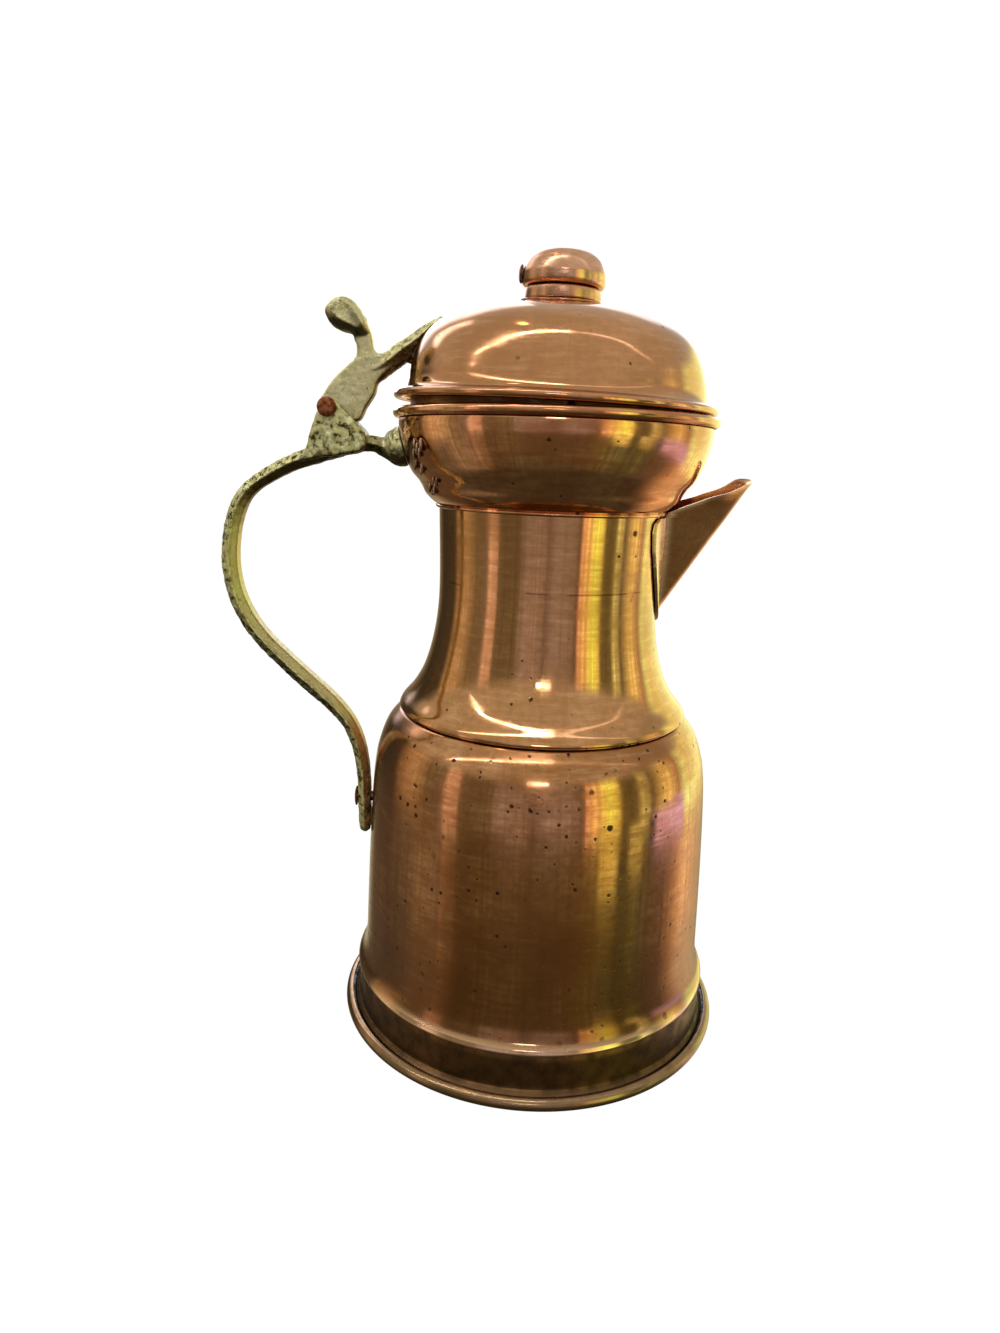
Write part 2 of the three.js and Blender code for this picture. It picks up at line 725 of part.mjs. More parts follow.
function lidDome() {
  const roll = beadRoll(lidBead, LID_BEAD, LID_ROLL_END - BEAD_ROLL, LID_ROLL_END);
  const shell = revolve(sheetAlong([...roll, ...middleOf(domeLine)]));
  return armRivetPlaces.reduce((rest, place) => rest.subtract(armRivetBore(place)), shell);
}

function lidBezel() {
  const topZ = lidZ + BEZEL_RISE;
  const r = wallAt(domeLine, topZ).r - SEAT_GAP - SHEET * 1.5;
  return revolve(sheetAlong([[r, lidZ - BEZEL_DEPTH], [r, topZ]]));
}

// The lever's upright, as distances from the pin towards the lid and up: its lid side up to the
// arm's root, then over the stem and the thumb piece's foot and down its handle side to the knuckle
function upright() {
  const lidSide = [
    [9.1, -3.4],
    [11.3, 1.0],
    [13.0, 3.8],
    [14.1, 7.8],
    [16.6, 10.3],
  ];
  const insideArm = [[0.1, 2.5], [0.21, 4]].map((at) => beside(domeLine, ...at).place);
  const handleSide = [
    [14.4, 15.8],
    [12.8, 16.6],
    [12.0, 18.5],
    [11.8, 22.3],
    [10.0, 25.9],
    [5.0, 25.9],
    [4.0, 21.9],
    [6.9, 19.4],
    [7.2, 15.2],
    [4.7, 11.9],
    [2.1, 9.2],
    [0.2, 6.6],
    ...arc([0, 0], KNUCKLE_R, 105, 310, 8),
    [5.5, -3.6],
  ];
  return plate([...lidSide.map(fromPin), ...insideArm, ...handleSide.map(fromPin)], LEVER_WIDTH);
}

// The arm that lies on the dome: its height over the dome's outer face, from the root to the tip
function arm() {
  const top = [
    [0.42, 0.4],
    [0.411, 1.7],
    [0.36, 2.15],
    [0.28, 3.66],
    [0.206, 5.5],
    [0.15, 7.6],
  ].map(([share, height]) => beside(domeLine, share, height).place);
  const root = beside(domeLine, 0.08, ARM_ROOT).place;
  const under = [0.1, 0.2, 0.3, 0.42].map((share) => beside(domeLine, share, -SHEET).place);
  return plate([...top, root, ...under], ARM_WIDTH, lidSeat);
}

function lidLever() {
  const [thumbR, thumbZ] = fromPin(THUMB_AT);
  const thumb = toSolid(
    new THREE.SphereGeometry(1, BALL_ROUND, BALL_RINGS)
      .scale(...THUMB_HALF)
      .rotateY(THUMB_TILT)
      .translate(-thumbR, 0, thumbZ),
  );
  const casting = upright().add(arm()).add(thumb).subtract(domeRoom).subtract(pinBore);
  return armRivetPlaces.reduce(
    (rest, place) => rest.subtract(armRivetBore(lidSeat.clone().multiply(place))),
    casting,
  );
}

// Knob, in the lid's own frame
const knobFloorZ = domeTopZ + SEAT_GAP;
const tenonTopZ = creaseZ + KNOB_TENON_H;
const knobTopZ = creaseZ + KNOB_CAP_H;
const knobWasherZ = domeTopZ - SHEET - 2 * SEAT_GAP - WASHER_T;
const knobRivetAt = aim([-KNOB_TENON_R, 0, creaseZ + KNOB_RIVET_UP], [-1, 0, 0]);
const knobRivetBore = rod(KNOB_RIVET_R + PIN_GAP, -KNOB_RIVET_BITE - SEAT_GAP, KNOB_R, knobRivetAt);

function knobCollar() {
  const peenZ = knobWasherZ - SEAT_GAP;
  const outline = [
    [0, peenZ - KNOB_PEEN_H],
    [KNOB_STEM_R + 0.6, peenZ - KNOB_PEEN_H],
    [KNOB_STEM_R + 1.2, peenZ - KNOB_PEEN_H * 0.4],
    [KNOB_STEM_R, peenZ],
    [KNOB_STEM_R, knobFloorZ],
    [KNOB_COLLAR_R - 0.3, knobFloorZ],
    [KNOB_COLLAR_R, knobFloorZ + 1],
    [KNOB_COLLAR_R - 0.1, creaseZ - 0.4],
    [KNOB_COLLAR_R - 0.5, creaseZ],
    [KNOB_TENON_R, creaseZ],
    [KNOB_TENON_R, tenonTopZ],
    [0, tenonTopZ],
  ];
  return revolve(outline, KNOB_ROUND).subtract(knobRivetBore);
}

function knobCap() {
  const socketR = KNOB_TENON_R + SEAT_GAP;
  const low = creaseZ + SEAT_GAP;
  const widest = [KNOB_R, creaseZ + KNOB_CAP_H * 0.28];
  const top = [0, knobTopZ];
  const outline = [
    [socketR, low],
    [KNOB_R - 0.7, low],
    [KNOB_R, low + 1.4],
    ...curveThrough(
      [
        widest,
        between(widest, top, 0.016, 0.19),
        between(widest, top, 0.123, 0.55),
        between(widest, top, 0.296, 0.808),
        between(widest, top, 0.494, 0.923),
        top,
      ],
      7,
    ),
    [0, tenonTopZ + SEAT_GAP],
    [socketR, tenonTopZ + SEAT_GAP],
  ];
  return revolve(outline, KNOB_ROUND).subtract(knobRivetBore);
}

// One named mesh for each piece
function meshOf(name, finish, solid) {
  const mesh = new THREE.Mesh(toGeometry(solid), new THREE.MeshStandardMaterial(FINISHES[finish]));
  mesh.name = name;
  return mesh;
}

const jug = new THREE.Group();
jug.add(
  meshOf("foot_ring", "dark_copper", footRing()),
  meshOf("foot_wire", "iron", wireIn(footBead, FOOT_BEAD)),
  meshOf("base_disc", "copper", baseDisc()),
  meshOf("lower_body", "copper", lowerBody()),
  meshOf("neck", "copper", neck()),
  meshOf("mouth_bowl", "copper", mouthBowl()),
  meshOf("rim_wire", "iron", wireIn(rimBead, RIM_BEAD)),
  meshOf("spout", "copper", spout()),
  meshOf("handle", "brass", handle()),
);

// The stud's washer and head lie inside the bowl, its end in the ball
const washerFrom = -SHEET - WASHER_SEAT - WASHER_T;
const stud = rivet(
  {
    shankR: STUD_R,
    headR: STUD_HEAD_R,
    headH: RIVET_HEAD_H,
    grip: STUD_REACH - washerFrom + SEAT_GAP,
  },
  moved(flipped(studAt), -STUD_REACH),
);
jug.add(
  meshOf("stud_washer", "copper", washer(STUD_R + PIN_GAP, WASHER_R, washerFrom, studAt)),
  meshOf("handle_stud", "pin_copper", stud),
);

// The tail rivet's head lies on the strap, its peened end on a washer inside the body
const tailPeen = washerFrom - SEAT_GAP;
const tailRivet = rivet(
  {
    shankR: STUD_R,
    headR: STUD_HEAD_R,
    headH: TAIL_HEAD_H,
    grip: TAIL_OUT + TAIL_THICKNESS / 2 + SEAT_GAP - tailPeen,
    peenR: TAIL_PEEN_R,
    peenH: TAIL_PEEN_H,
  },
  moved(tailRivetAt, tailPeen),
);
jug.add(
  meshOf("tail_washer", "copper", washer(STUD_R + PIN_GAP, WASHER_R, washerFrom, tailRivetAt)),
  meshOf("tail_rivet", "pin_copper", tailRivet),
);

// The pin's two heads clear the ears
const pinHalf = LUG_WIDTH / 2 + SEAT_GAP;
const pin = rivet(
  {
    shankR: PIN_R,
    headR: PIN_HEAD_R,
    headH: PIN_HEAD_H,
    grip: 2 * pinHalf,
    peenR: PIN_HEAD_R,
    peenH: PIN_HEAD_H,
  },
  moved(pinAt, -pinHalf),
);
jug.add(meshOf("hinge_pin", "pin_copper", pin));

// The lid's own pieces
const lid = new THREE.Group();
lid.applyMatrix4(lidSeat);
const knobRivet = rivet(
  {
    shankR: KNOB_RIVET_R,
    headR: KNOB_RIVET_HEAD_R,
    headH: KNOB_RIVET_HEAD_H,
    grip: KNOB_RIVET_BITE + KNOB_R + SEAT_GAP - KNOB_TENON_R,
  },
  moved(knobRivetAt, -KNOB_RIVET_BITE),
);
lid.add(
  meshOf("lid_dome", "copper", lidDome()),
  meshOf("lid_wire", "iron", wireIn(lidBead, LID_BEAD)),
  meshOf("lid_bezel", "copper", lidBezel()),
  meshOf("knob_collar", "copper", knobCollar()),
  meshOf("knob_cap", "copper", knobCap()),
  meshOf("knob_washer", "copper", washer(KNOB_STEM_R + PIN_GAP, KNOB_WASHER_R, knobWasherZ)),
  meshOf("knob_rivet", "pin_copper", knobRivet),
);
armRivetPlaces.forEach((place, i) => {
  const armRivet = rivet(
    {
      shankR: ARM_RIVET_R,
      headR: ARM_RIVET_HEAD_R,
      headH: ARM_RIVET_HEAD_H,
      grip: armRivetReach,
    },
    moved(flipped(place), -armRivetReach),
  );
  lid.add(meshOf(`lid_arm_rivet_${i + 1}`, "pin_copper", armRivet));
});
jug.add(lid, meshOf("lid_lever", "brass", lidLever()));

export default jug;
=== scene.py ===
# %% [markdown]
# # A lidded copper jug
#
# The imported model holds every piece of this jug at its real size. Here each piece is made again
# with a fine surface and the finish of its metal: spun copper for the shells, cast brass for the
# handle and the lid's lever, hammered copper for the pin and the rivets.
# Sizes are in millimetres, as on a maker's drawing, and become metres when a mesh is made.

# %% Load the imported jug
import json
import math

import bmesh
import bpy
import numpy as np
from mathutils import Matrix, Vector, noise

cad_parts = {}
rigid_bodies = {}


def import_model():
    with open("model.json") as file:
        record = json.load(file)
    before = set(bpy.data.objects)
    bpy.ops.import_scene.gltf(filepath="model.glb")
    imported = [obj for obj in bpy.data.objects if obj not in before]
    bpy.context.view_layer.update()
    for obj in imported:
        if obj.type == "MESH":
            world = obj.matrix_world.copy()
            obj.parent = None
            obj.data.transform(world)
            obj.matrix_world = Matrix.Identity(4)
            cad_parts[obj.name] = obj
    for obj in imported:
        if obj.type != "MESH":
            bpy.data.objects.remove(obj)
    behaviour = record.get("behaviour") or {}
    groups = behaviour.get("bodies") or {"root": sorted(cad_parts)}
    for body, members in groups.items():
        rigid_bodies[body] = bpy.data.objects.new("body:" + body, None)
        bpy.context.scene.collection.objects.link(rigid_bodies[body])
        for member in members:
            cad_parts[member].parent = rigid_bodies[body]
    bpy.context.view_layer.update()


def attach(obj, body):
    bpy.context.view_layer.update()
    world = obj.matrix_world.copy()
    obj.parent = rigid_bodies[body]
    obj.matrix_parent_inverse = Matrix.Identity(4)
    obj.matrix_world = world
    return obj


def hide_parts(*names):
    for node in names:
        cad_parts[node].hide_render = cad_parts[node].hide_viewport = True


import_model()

# %% [markdown]
# ## Two small helpers
#
# Metal colours are given as sRGB hex values, but shaders add up light in linear values,
# so one function converts them. Another adds a shader or geometry node together with its
# settings and links, which keeps each tree short enough to read from top to bottom.

# %% Helpers for colours and nodes
MM = 0.001
SMOOTH = {"interpolation_type": "SMOOTHSTEP"}
COLOURS = {"data_type": "RGBA"}


def linear(hex_colour, strength=1.0):
    channels = [int(hex_colour[i:i + 2], 16) / 255 for i in (1, 3, 5)]
    bent = [c / 12.92 if c <= 0.04045 else ((c + 0.055) / 1.055) ** 2.4 for c in channels]
    return [c * strength for c in bent] + [1]


def add(tree, kind, inputs=(), **settings):
    """Adds a node and gives its outputs. Inputs come in their order, or by name or number."""
    node = tree.nodes.new(kind)
    for key, value in settings.items():
        setattr(node, key, value)
    keyed = inputs if isinstance(inputs, dict) else dict(enumerate(inputs))
    for key, value in keyed.items():
        if isinstance(value, bpy.types.NodeSocket):
            tree.links.new(value, node.inputs[key])
        else:
            node.inputs[key].default_value = value
    return node.outputs


print("one white of the scene:", linear("#FFFFFF"))

# %% [markdown]
# ## The camera
#
# The photograph was taken from close by, a little below the lid's rim and slightly from the
# handle's side, looking down at the jug by 13 degrees. The lens and the place follow from how the
# rim, the beads and the foot curve in the picture, so the same ellipses appear in the render.

# %% Camera
CAMERA_AT = (-28.6, -272.3, 178.1)
CAMERA_BEARING = math.radians(6)
CAMERA_PITCH = 0.2289
CAMERA_YAW = CAMERA_BEARING - 0.0503
CAMERA_ROLL = -0.0387
SENSOR_MM = 36.0
FOCAL_SHARE = 0.8778

look = Vector((
    math.sin(CAMERA_YAW) * math.cos(CAMERA_PITCH),
    math.cos(CAMERA_YAW) * math.cos(CAMERA_PITCH),
    -math.sin(CAMERA_PITCH),
))
level_right = Vector((math.cos(CAMERA_YAW), -math.sin(CAMERA_YAW), 0))
level_down = look.cross(level_right)
right = level_right * math.cos(CAMERA_ROLL) + level_down * math.sin(CAMERA_ROLL)
down = level_down * math.cos(CAMERA_ROLL) - level_right * math.sin(CAMERA_ROLL)
camera = bpy.data.objects.new("camera", bpy.data.cameras.new("camera"))
camera.data.sensor_fit = "HORIZONTAL"
camera.data.sensor_width = SENSOR_MM
camera.data.lens = SENSOR_MM * FOCAL_SHARE
camera.data.clip_start = 10 * MM
camera.matrix_world = Matrix((right, -down, -look)).transposed().to_4x4()
camera.location = Vector(CAMERA_AT) * MM
bpy.context.scene.collection.objects.link(camera)
bpy.context.scene.camera = camera
print("camera lens:", round(camera.data.lens, 2), "mm")

# %% [markdown]
# ## Light
#
# Polished copper has no colour of its own to show: it is a mirror that tints what stands round
# it. So the room is described by what the copper shows of it. A table gives, for compass bearings
# seen from the jug with 0 towards the camera and + to the right, the colour of the reflection at
# eye level and the colour further down. Divided by the colour of copper, that is the light which
# must come from there. A second table adds what has edges of its own: windows, lamps and a cloth.
#
# The jug stands on a light table: a white sheet that glows, so the ground throws no shadow.

# %% Light table
FLOOR_RADIUS = 6000
SHEET_GLOW = 1.02
ROOM_GLOW = (1.05, 1.05, 1.05, 1)

bpy.ops.mesh.primitive_circle_add(vertices=96, radius=FLOOR_RADIUS * MM, fill_type="NGON")
floor = bpy.context.object
floor.name = "floor"
floor.visible_glossy = False
glow = bpy.data.materials.new("glowing_white_sheet")
glow.use_nodes = True
glow.node_tree.nodes.clear()
glow_inputs = {"Color": linear("#FFFFFF"), "Strength": SHEET_GLOW}
lit_from_below = add(glow.node_tree, "ShaderNodeEmission", glow_inputs)[0]
add(glow.node_tree, "ShaderNodeOutputMaterial", {"Surface": lit_from_below})
floor.data.materials.append(glow)
print("light table:", FLOOR_RADIUS, "mm in radius")

# %% Colours of the walls, as the copper shows them
COPPER = "#C68A5A"
ROOM = [
    (-180, "#D8CCB0", "#D4C4A8"),
    (-160, "#86684A", "#B49870"),
    (-142, "#3A2814", "#5E3E22"),
    (-112, "#4A321A", "#5C3C20"),
    (-104, "#A86E3A", "#5E4022"),
    (-92, "#BC8048", "#6A482A"),
    (-80, "#80582E", "#80562F"),
    (-66, "#745030", "#7A5230"),
    (-61, "#D8905C", "#88582F"),
    (-55, "#C88250", "#744A26"),
    (-51, "#6E4C28", "#5E3C1C"),
    (-30, "#6A4826", "#5A3A1A"),
    (-22, "#946848", "#5C3C1C"),
    (-5, "#8A5E3E", "#5C3C1C"),
    (1, "#775034", "#5C3C1C"),
    (8, "#986C4C", "#5C3C1C"),
    (25, "#8A6040", "#603E1C"),
    (31, "#6E4628", "#64421C"),
    (34, "#E89050", "#66461C"),
    (44, "#F0B048", "#64481E"),
    (48, "#FFDC48", "#604820"),
    (54, "#F0B844", "#5A441C"),
    (58, "#6A4A20", "#4E3818"),
    (70, "#6E5024", "#5E481C"),
    (73, "#E8B858", "#5A4420"),
    (82, "#6A4A26", "#5F4120"),
    (96, "#FFBC58", "#704828"),
    (109, "#A8683C", "#B8743C"),
    (117, "#FFE474", "#E89C58"),
    (140, "#FFD468", "#CC8A50"),
    (158, "#F4C070", "#A07850"),
    (180, "#F0E0C0", "#D0BC9C"),
]
BRIGHTEST = 10.0


def light_for(seen, at=0.0):
    """The light that an upright copper wall turns into a seen colour, from one bearing.

    Towards the jug's sides the wall is seen at a slant, and slanted copper mirrors whiter.
    """
    slant = (1 - math.cos(math.radians(abs(at) / 2))) ** 5
    mirrored = [c + (1 - c) * slant for c in linear(COPPER)[:3]]
    return [s / m for s, m in zip(linear(seen)[:3], mirrored)] + [1]


print("room:", len(ROOM), "bearings")

# %% Bearing and height of a direction in the room
world = bpy.data.worlds.new("warm_room")
bpy.context.scene.world = world
world.use_nodes = True
sky = world.node_tree
sky.nodes.clear()
compass = add(sky, "ShaderNodeSeparateXYZ", [add(sky, "ShaderNodeTexCoord")["Generated"]])
to_camera = add(sky, "ShaderNodeMath", [compass[1], -1.0], operation="MULTIPLY")[0]
turned = add(sky, "ShaderNodeMath", [compass[0], to_camera], operation="ARCTAN2")[0]
turned = add(sky, "ShaderNodeMath", [turned, CAMERA_BEARING], operation="ADD")[0]
once_round = add(sky, "ShaderNodeMath", [turned, 1 / math.tau, 0.5], operation="MULTIPLY_ADD")[0]
once_round = add(sky, "ShaderNodeMath", [once_round], operation="FRACT")[0]
bearing = add(sky, "ShaderNodeMath", [turned], operation="DEGREES")[0]
height = add(sky, "ShaderNodeMath", [compass[2]], operation="ARCSINE")[0]
height = add(sky, "ShaderNodeMath", [height], operation="DEGREES")[0]


def wall(column):
    """The light of all bearings, from one column of the room's table."""
    ramp = add(sky, "ShaderNodeValToRGB", [once_round])[0]
    stops = ramp.node.color_ramp.elements
    while len(stops) > 1:
        stops.remove(stops[0])
    for index, row in enumerate(ROOM):
        place = row[0] / 360 + 0.5
        stop = stops[0] if index == 0 else stops.new(place)
        stop.position = place
        stop.color = [c / BRIGHTEST for c in light_for(row[column], row[0])[:3]] + [1]
    return add(sky, "ShaderNodeVectorMath", {0: ramp, 3: BRIGHTEST}, operation="SCALE")[0]


def near(value, middle, full, none, most=1.0):
    """How near a value is to a middle: most within full of it, and 0 beyond none."""
    off = add(sky, "ShaderNodeMath", [value, middle], operation="SUBTRACT")[0]
    off = add(sky, "ShaderNodeMath", [off], operation="ABSOLUTE")[0]
    return add(sky, "ShaderNodeMapRange", [off, full, none, most, 0.0], **SMOOTH)[0]


def window(centre, middle, half_width, half_height, soft):
    """1 inside a window with soft edges and 0 outside it, all in degrees."""
    inside = [near(bearing, centre, half_width - soft, half_width + soft),
              near(height, middle, half_height - soft / 2, half_height + soft / 2)]
    return add(sky, "ShaderNodeMath", inside, operation="MULTIPLY")[0]


print("sky so far:", len(sky.nodes), "nodes")

# %% Windows and lamps, as bearing, height, half width, half height and softness in degrees
DAYLIGHT = "#E8F0FF"
WINDOWS = [
    ("right wall, up to the ceiling", 140, 4, 22, 14, 6, light_for("#FFDC84", 148)),
    ("pink cloth beside the camera", 98, -15.5, 17, 4.0, 2.4, light_for("#DC9484", 98)),
    ("dark gap in the cloth", 82, -16.0, 2.6, 3.4, 3.0, light_for("#3A2C20")),
    ("yellow window, low part", 49, -17.5, 6, 5.0, 3.0, light_for("#D8A040")),
    ("second window, low part", 69, -17, 5, 4.0, 2.4, light_for("#C89844")),
    ("light behind, over the jug", 180, 22, 20, 15, 9, linear(DAYLIGHT, 2.6)),
    ("light behind, from the left", -166, 26, 22, 19, 9, linear(DAYLIGHT, 3.6)),
    ("high window on the left", -125, 38, 6, 12, 4, linear(DAYLIGHT, 4.0)),
    ("round lamp on the ceiling", -74, 73, 11, 1.8, 1.6, linear("#FFE4B8", 9.0)),
    ("small lamp", 1, 20.4, 6.5, 1.2, 0.8, linear(DAYLIGHT, 18.0)),
]
print("windows and lamps:", len(WINDOWS))

# %% Walls, ceiling and ground
LOW_WALL = (-22, -11)
CEILING = (13, 25)
GROUND = (-52, -32)

# Shelves and goods along the walls break the light into upright streaks
low_share = add(sky, "ShaderNodeMapRange", [height, *LOW_WALL, 1.0, 0.0], **SMOOTH)[0]
lit = add(sky, "ShaderNodeMix", {0: low_share, 6: wall(1), 7: wall(2)}, **COLOURS)[2]
shelves = add(sky, "ShaderNodeTexNoise", {
    "W": bearing, "Scale": 0.35, "Detail": 4.0, "Roughness": 0.7}, noise_dimensions="1D")["Fac"]
streaks = add(sky, "ShaderNodeMath", [shelves, 1.5, 0.25], operation="MULTIPLY_ADD")[0]
lit = add(sky, "ShaderNodeVectorMath", {0: lit, 3: streaks}, operation="SCALE")[0]
layers = [
    (add(sky, "ShaderNodeMapRange", [height, *CEILING], **SMOOTH)[0], light_for("#AA7A4C")),
    (add(sky, "ShaderNodeMapRange", [height, *GROUND, 1.0, 0.0], **SMOOTH)[0], light_for("#3E2812")),
]
layers += [(window(*sizes), light) for _, *sizes, light in WINDOWS]
print("layers of light:", len(layers))

# %% The long lamp and the finished room
# The lamp is a straight tube, so it bows down towards its ends when it is seen from the jug
roll = add(sky, "ShaderNodeMath", [compass[2], to_camera], operation="ARCTAN2")[0]
thin = near(roll, math.radians(66), math.radians(0.8), math.radians(2.3))
bright_part = near(compass[0], -0.38, 0.4, 0.52)
faint_whole = near(compass[0], 0.0, 0.78, 0.9, 0.09)
tube = add(sky, "ShaderNodeMath", [bright_part, faint_whole], operation="MAXIMUM")[0]
tube = add(sky, "ShaderNodeMath", [thin, tube], operation="MULTIPLY")[0]
layers.append((tube, linear(DAYLIGHT, 16.0)))
for amount, light in layers:
    lit = add(sky, "ShaderNodeMix", {0: amount, 6: lit, 7: light}, **COLOURS)[2]

mirrored_rays = add(sky, "ShaderNodeLightPath")["Is Glossy Ray"]
seen_light = add(sky, "ShaderNodeMix", {0: mirrored_rays, 6: ROOM_GLOW, 7: lit}, **COLOURS)[2]
background = add(sky, "ShaderNodeBackground", {"Color": seen_light})[0]
add(sky, "ShaderNodeOutputWorld", {"Surface": background})
bpy.context.scene.view_settings.view_transform = "Standard"
print("room:", len(sky.nodes), "nodes")

# %% [markdown]
# ## Copper
#
# The shells are copper sheet spun on a lathe and then rubbed bright. A spun surface keeps very
# fine rings from the tool and the polishing cloth, so its highlights are pulled sideways, which
# is what anisotropic gloss is for. Age adds soft brown tarnish in clouds, small black specks
# where water dried, and a slight waviness that bends the reflections. The rings follow the
# piece's own attribute called along, the length in millimetres from the start of its outline.
#
# Two functions do the layering that every metal here needs: one paints tones over a colour where
# a pattern says so, and one presses patterns into the surface, coarse ones first.

# %% Shared parts of the metals
def per_metre(feature_mm):
    """The scale of a texture whose features are this many millimetres across."""
    return 1 / (feature_mm * MM)


def noise_of(tree, place, feature_mm, detail=3.0, shift=0.0, roughness=0.5):
    moved = add(tree, "ShaderNodeMapping", {"Vector": place, "Location": (shift, shift, 0)})[0]
    return add(tree, "ShaderNodeTexNoise", {
        "Vector": moved, "Scale": per_metre(feature_mm), "Detail": detail,
        "Roughness": roughness})["Fac"]


def paint(tree, colour, *layers):
    """Tones laid over a colour. A layer is a tone, a pattern, and the span that eases it if any."""
    below = linear(colour) if isinstance(colour, str) else colour
    for tone, pattern, *span in layers:
        above = linear(tone) if isinstance(tone, str) else tone
        amount = add(tree, "ShaderNodeMapRange", [pattern, *span], **SMOOTH)[0] if span else pattern
        below = add(tree, "ShaderNodeMix", {0: amount, 6: below, 7: above}, **COLOURS)[2]
    return below


def relief(tree, *layers):
    """Patterns pressed into the surface, each by its own depth in millimetres."""
    lower = {}
    for pattern, depth_mm in layers:
        pressed = add(tree, "ShaderNodeBump", {
            "Height": pattern, "Distance": depth_mm * MM, **lower})[0]
        lower = {"Normal": pressed}
    return pressed


def summed(tree, *patterns):
    """The sum of patterns that are each eased over a span into a range of values."""
    total = 0.0
    for pattern in patterns:
        eased = add(tree, "ShaderNodeMapRange", pattern, **SMOOTH)[0]
        total = add(tree, "ShaderNodeMath", [total, eased], operation="ADD")[0]
    return total


print("a texture of 2 mm features has scale", per_metre(2))

# %% Start and end of a metal
def new_metal(name):
    material = bpy.data.materials.new(name)
    material.use_nodes = True
    tree = material.node_tree
    tree.nodes.clear()
    return material, tree, add(tree, "ShaderNodeTexCoord")["Object"]


def finish_metal(tree, colour, roughness, normal, anisotropic=0.0):
    inputs = {
        "Base Color": colour,
        "Roughness": roughness,
        "Metallic": 1.0,
        "Normal": normal,
        "Anisotropic": anisotropic,
        "Anisotropic Rotation": 0.25,
    }
    if anisotropic:
        inputs["Tangent"] = add(tree, "ShaderNodeTangent", direction_type="RADIAL", axis="Z")[0]
    shader = add(tree, "ShaderNodeBsdfPrincipled", inputs)[0]
    add(tree, "ShaderNodeOutputMaterial", {"Surface": shader})


print("materials before the metals:", len(bpy.data.materials))

# %% Specks
SMALL_SPECKS = {"cell_mm": 2.6, "largest": 0.33, "seed": 4.0}
LARGE_SPECKS = {"cell_mm": 5.4, "largest": 0.24, "seed": 11.0}
SPECK_CORE = 0.6
RAGGED_MM = 0.8


def speck_layer(tree, place, share, cell_mm, largest, seed):
    """Soft dark spots, at most one in each cell, in a share of the cells."""
    start = add(tree, "ShaderNodeMapping", {"Vector": place, "Location": (seed, seed, seed)})[0]
    cells = add(tree, "ShaderNodeTexVoronoi", {"Vector": start, "Scale": per_metre(cell_mm)})
    pick = add(tree, "ShaderNodeSeparateColor", [cells["Color"]])[0]
    growth = largest / share
    size = add(tree, "ShaderNodeMath", [pick, growth, largest - growth], operation="MULTIPLY_ADD")[0]
    size = add(tree, "ShaderNodeMath", [size, 0.001], operation="MAXIMUM")[0]
    core = add(tree, "ShaderNodeMath", [size, SPECK_CORE], operation="MULTIPLY")[0]
    return add(tree, "ShaderNodeMapRange", [cells["Distance"], core, size, 1.0, 0.0], **SMOOTH)[0]


def specks_of(tree, place, amount, shift):
    """Small and large specks with ragged edges, which stand in crowds."""
    shake = add(tree, "ShaderNodeTexNoise", {"Vector": place, "Scale": per_metre(0.9)})["Color"]
    ragged = add(tree, "ShaderNodeVectorMath", [shake, (RAGGED_MM * MM,) * 3, place],
                 operation="MULTIPLY_ADD")[0]
    both = [speck_layer(tree, ragged, amount * 0.75, **SMALL_SPECKS),
            speck_layer(tree, ragged, amount * 0.45, **LARGE_SPECKS)]
    speck = add(tree, "ShaderNodeMath", both, operation="MAXIMUM")[0]
    crowd_inputs = [noise_of(tree, place, 20, 2, shift + 7), 0.36, 0.52, 0.15, 0.9]
    crowded = add(tree, "ShaderNodeMapRange", crowd_inputs, **SMOOTH)[0]
    return add(tree, "ShaderNodeMath", [speck, crowded], operation="MULTIPLY")[0]


print("speck cells:", SMALL_SPECKS["cell_mm"], "and", LARGE_SPECKS["cell_mm"], "mm")

# %% Spun copper
RING_PITCH = 0.7
RUBBED_TONE = "#F0BC90"
SPECK_TONE = "#2A180E"


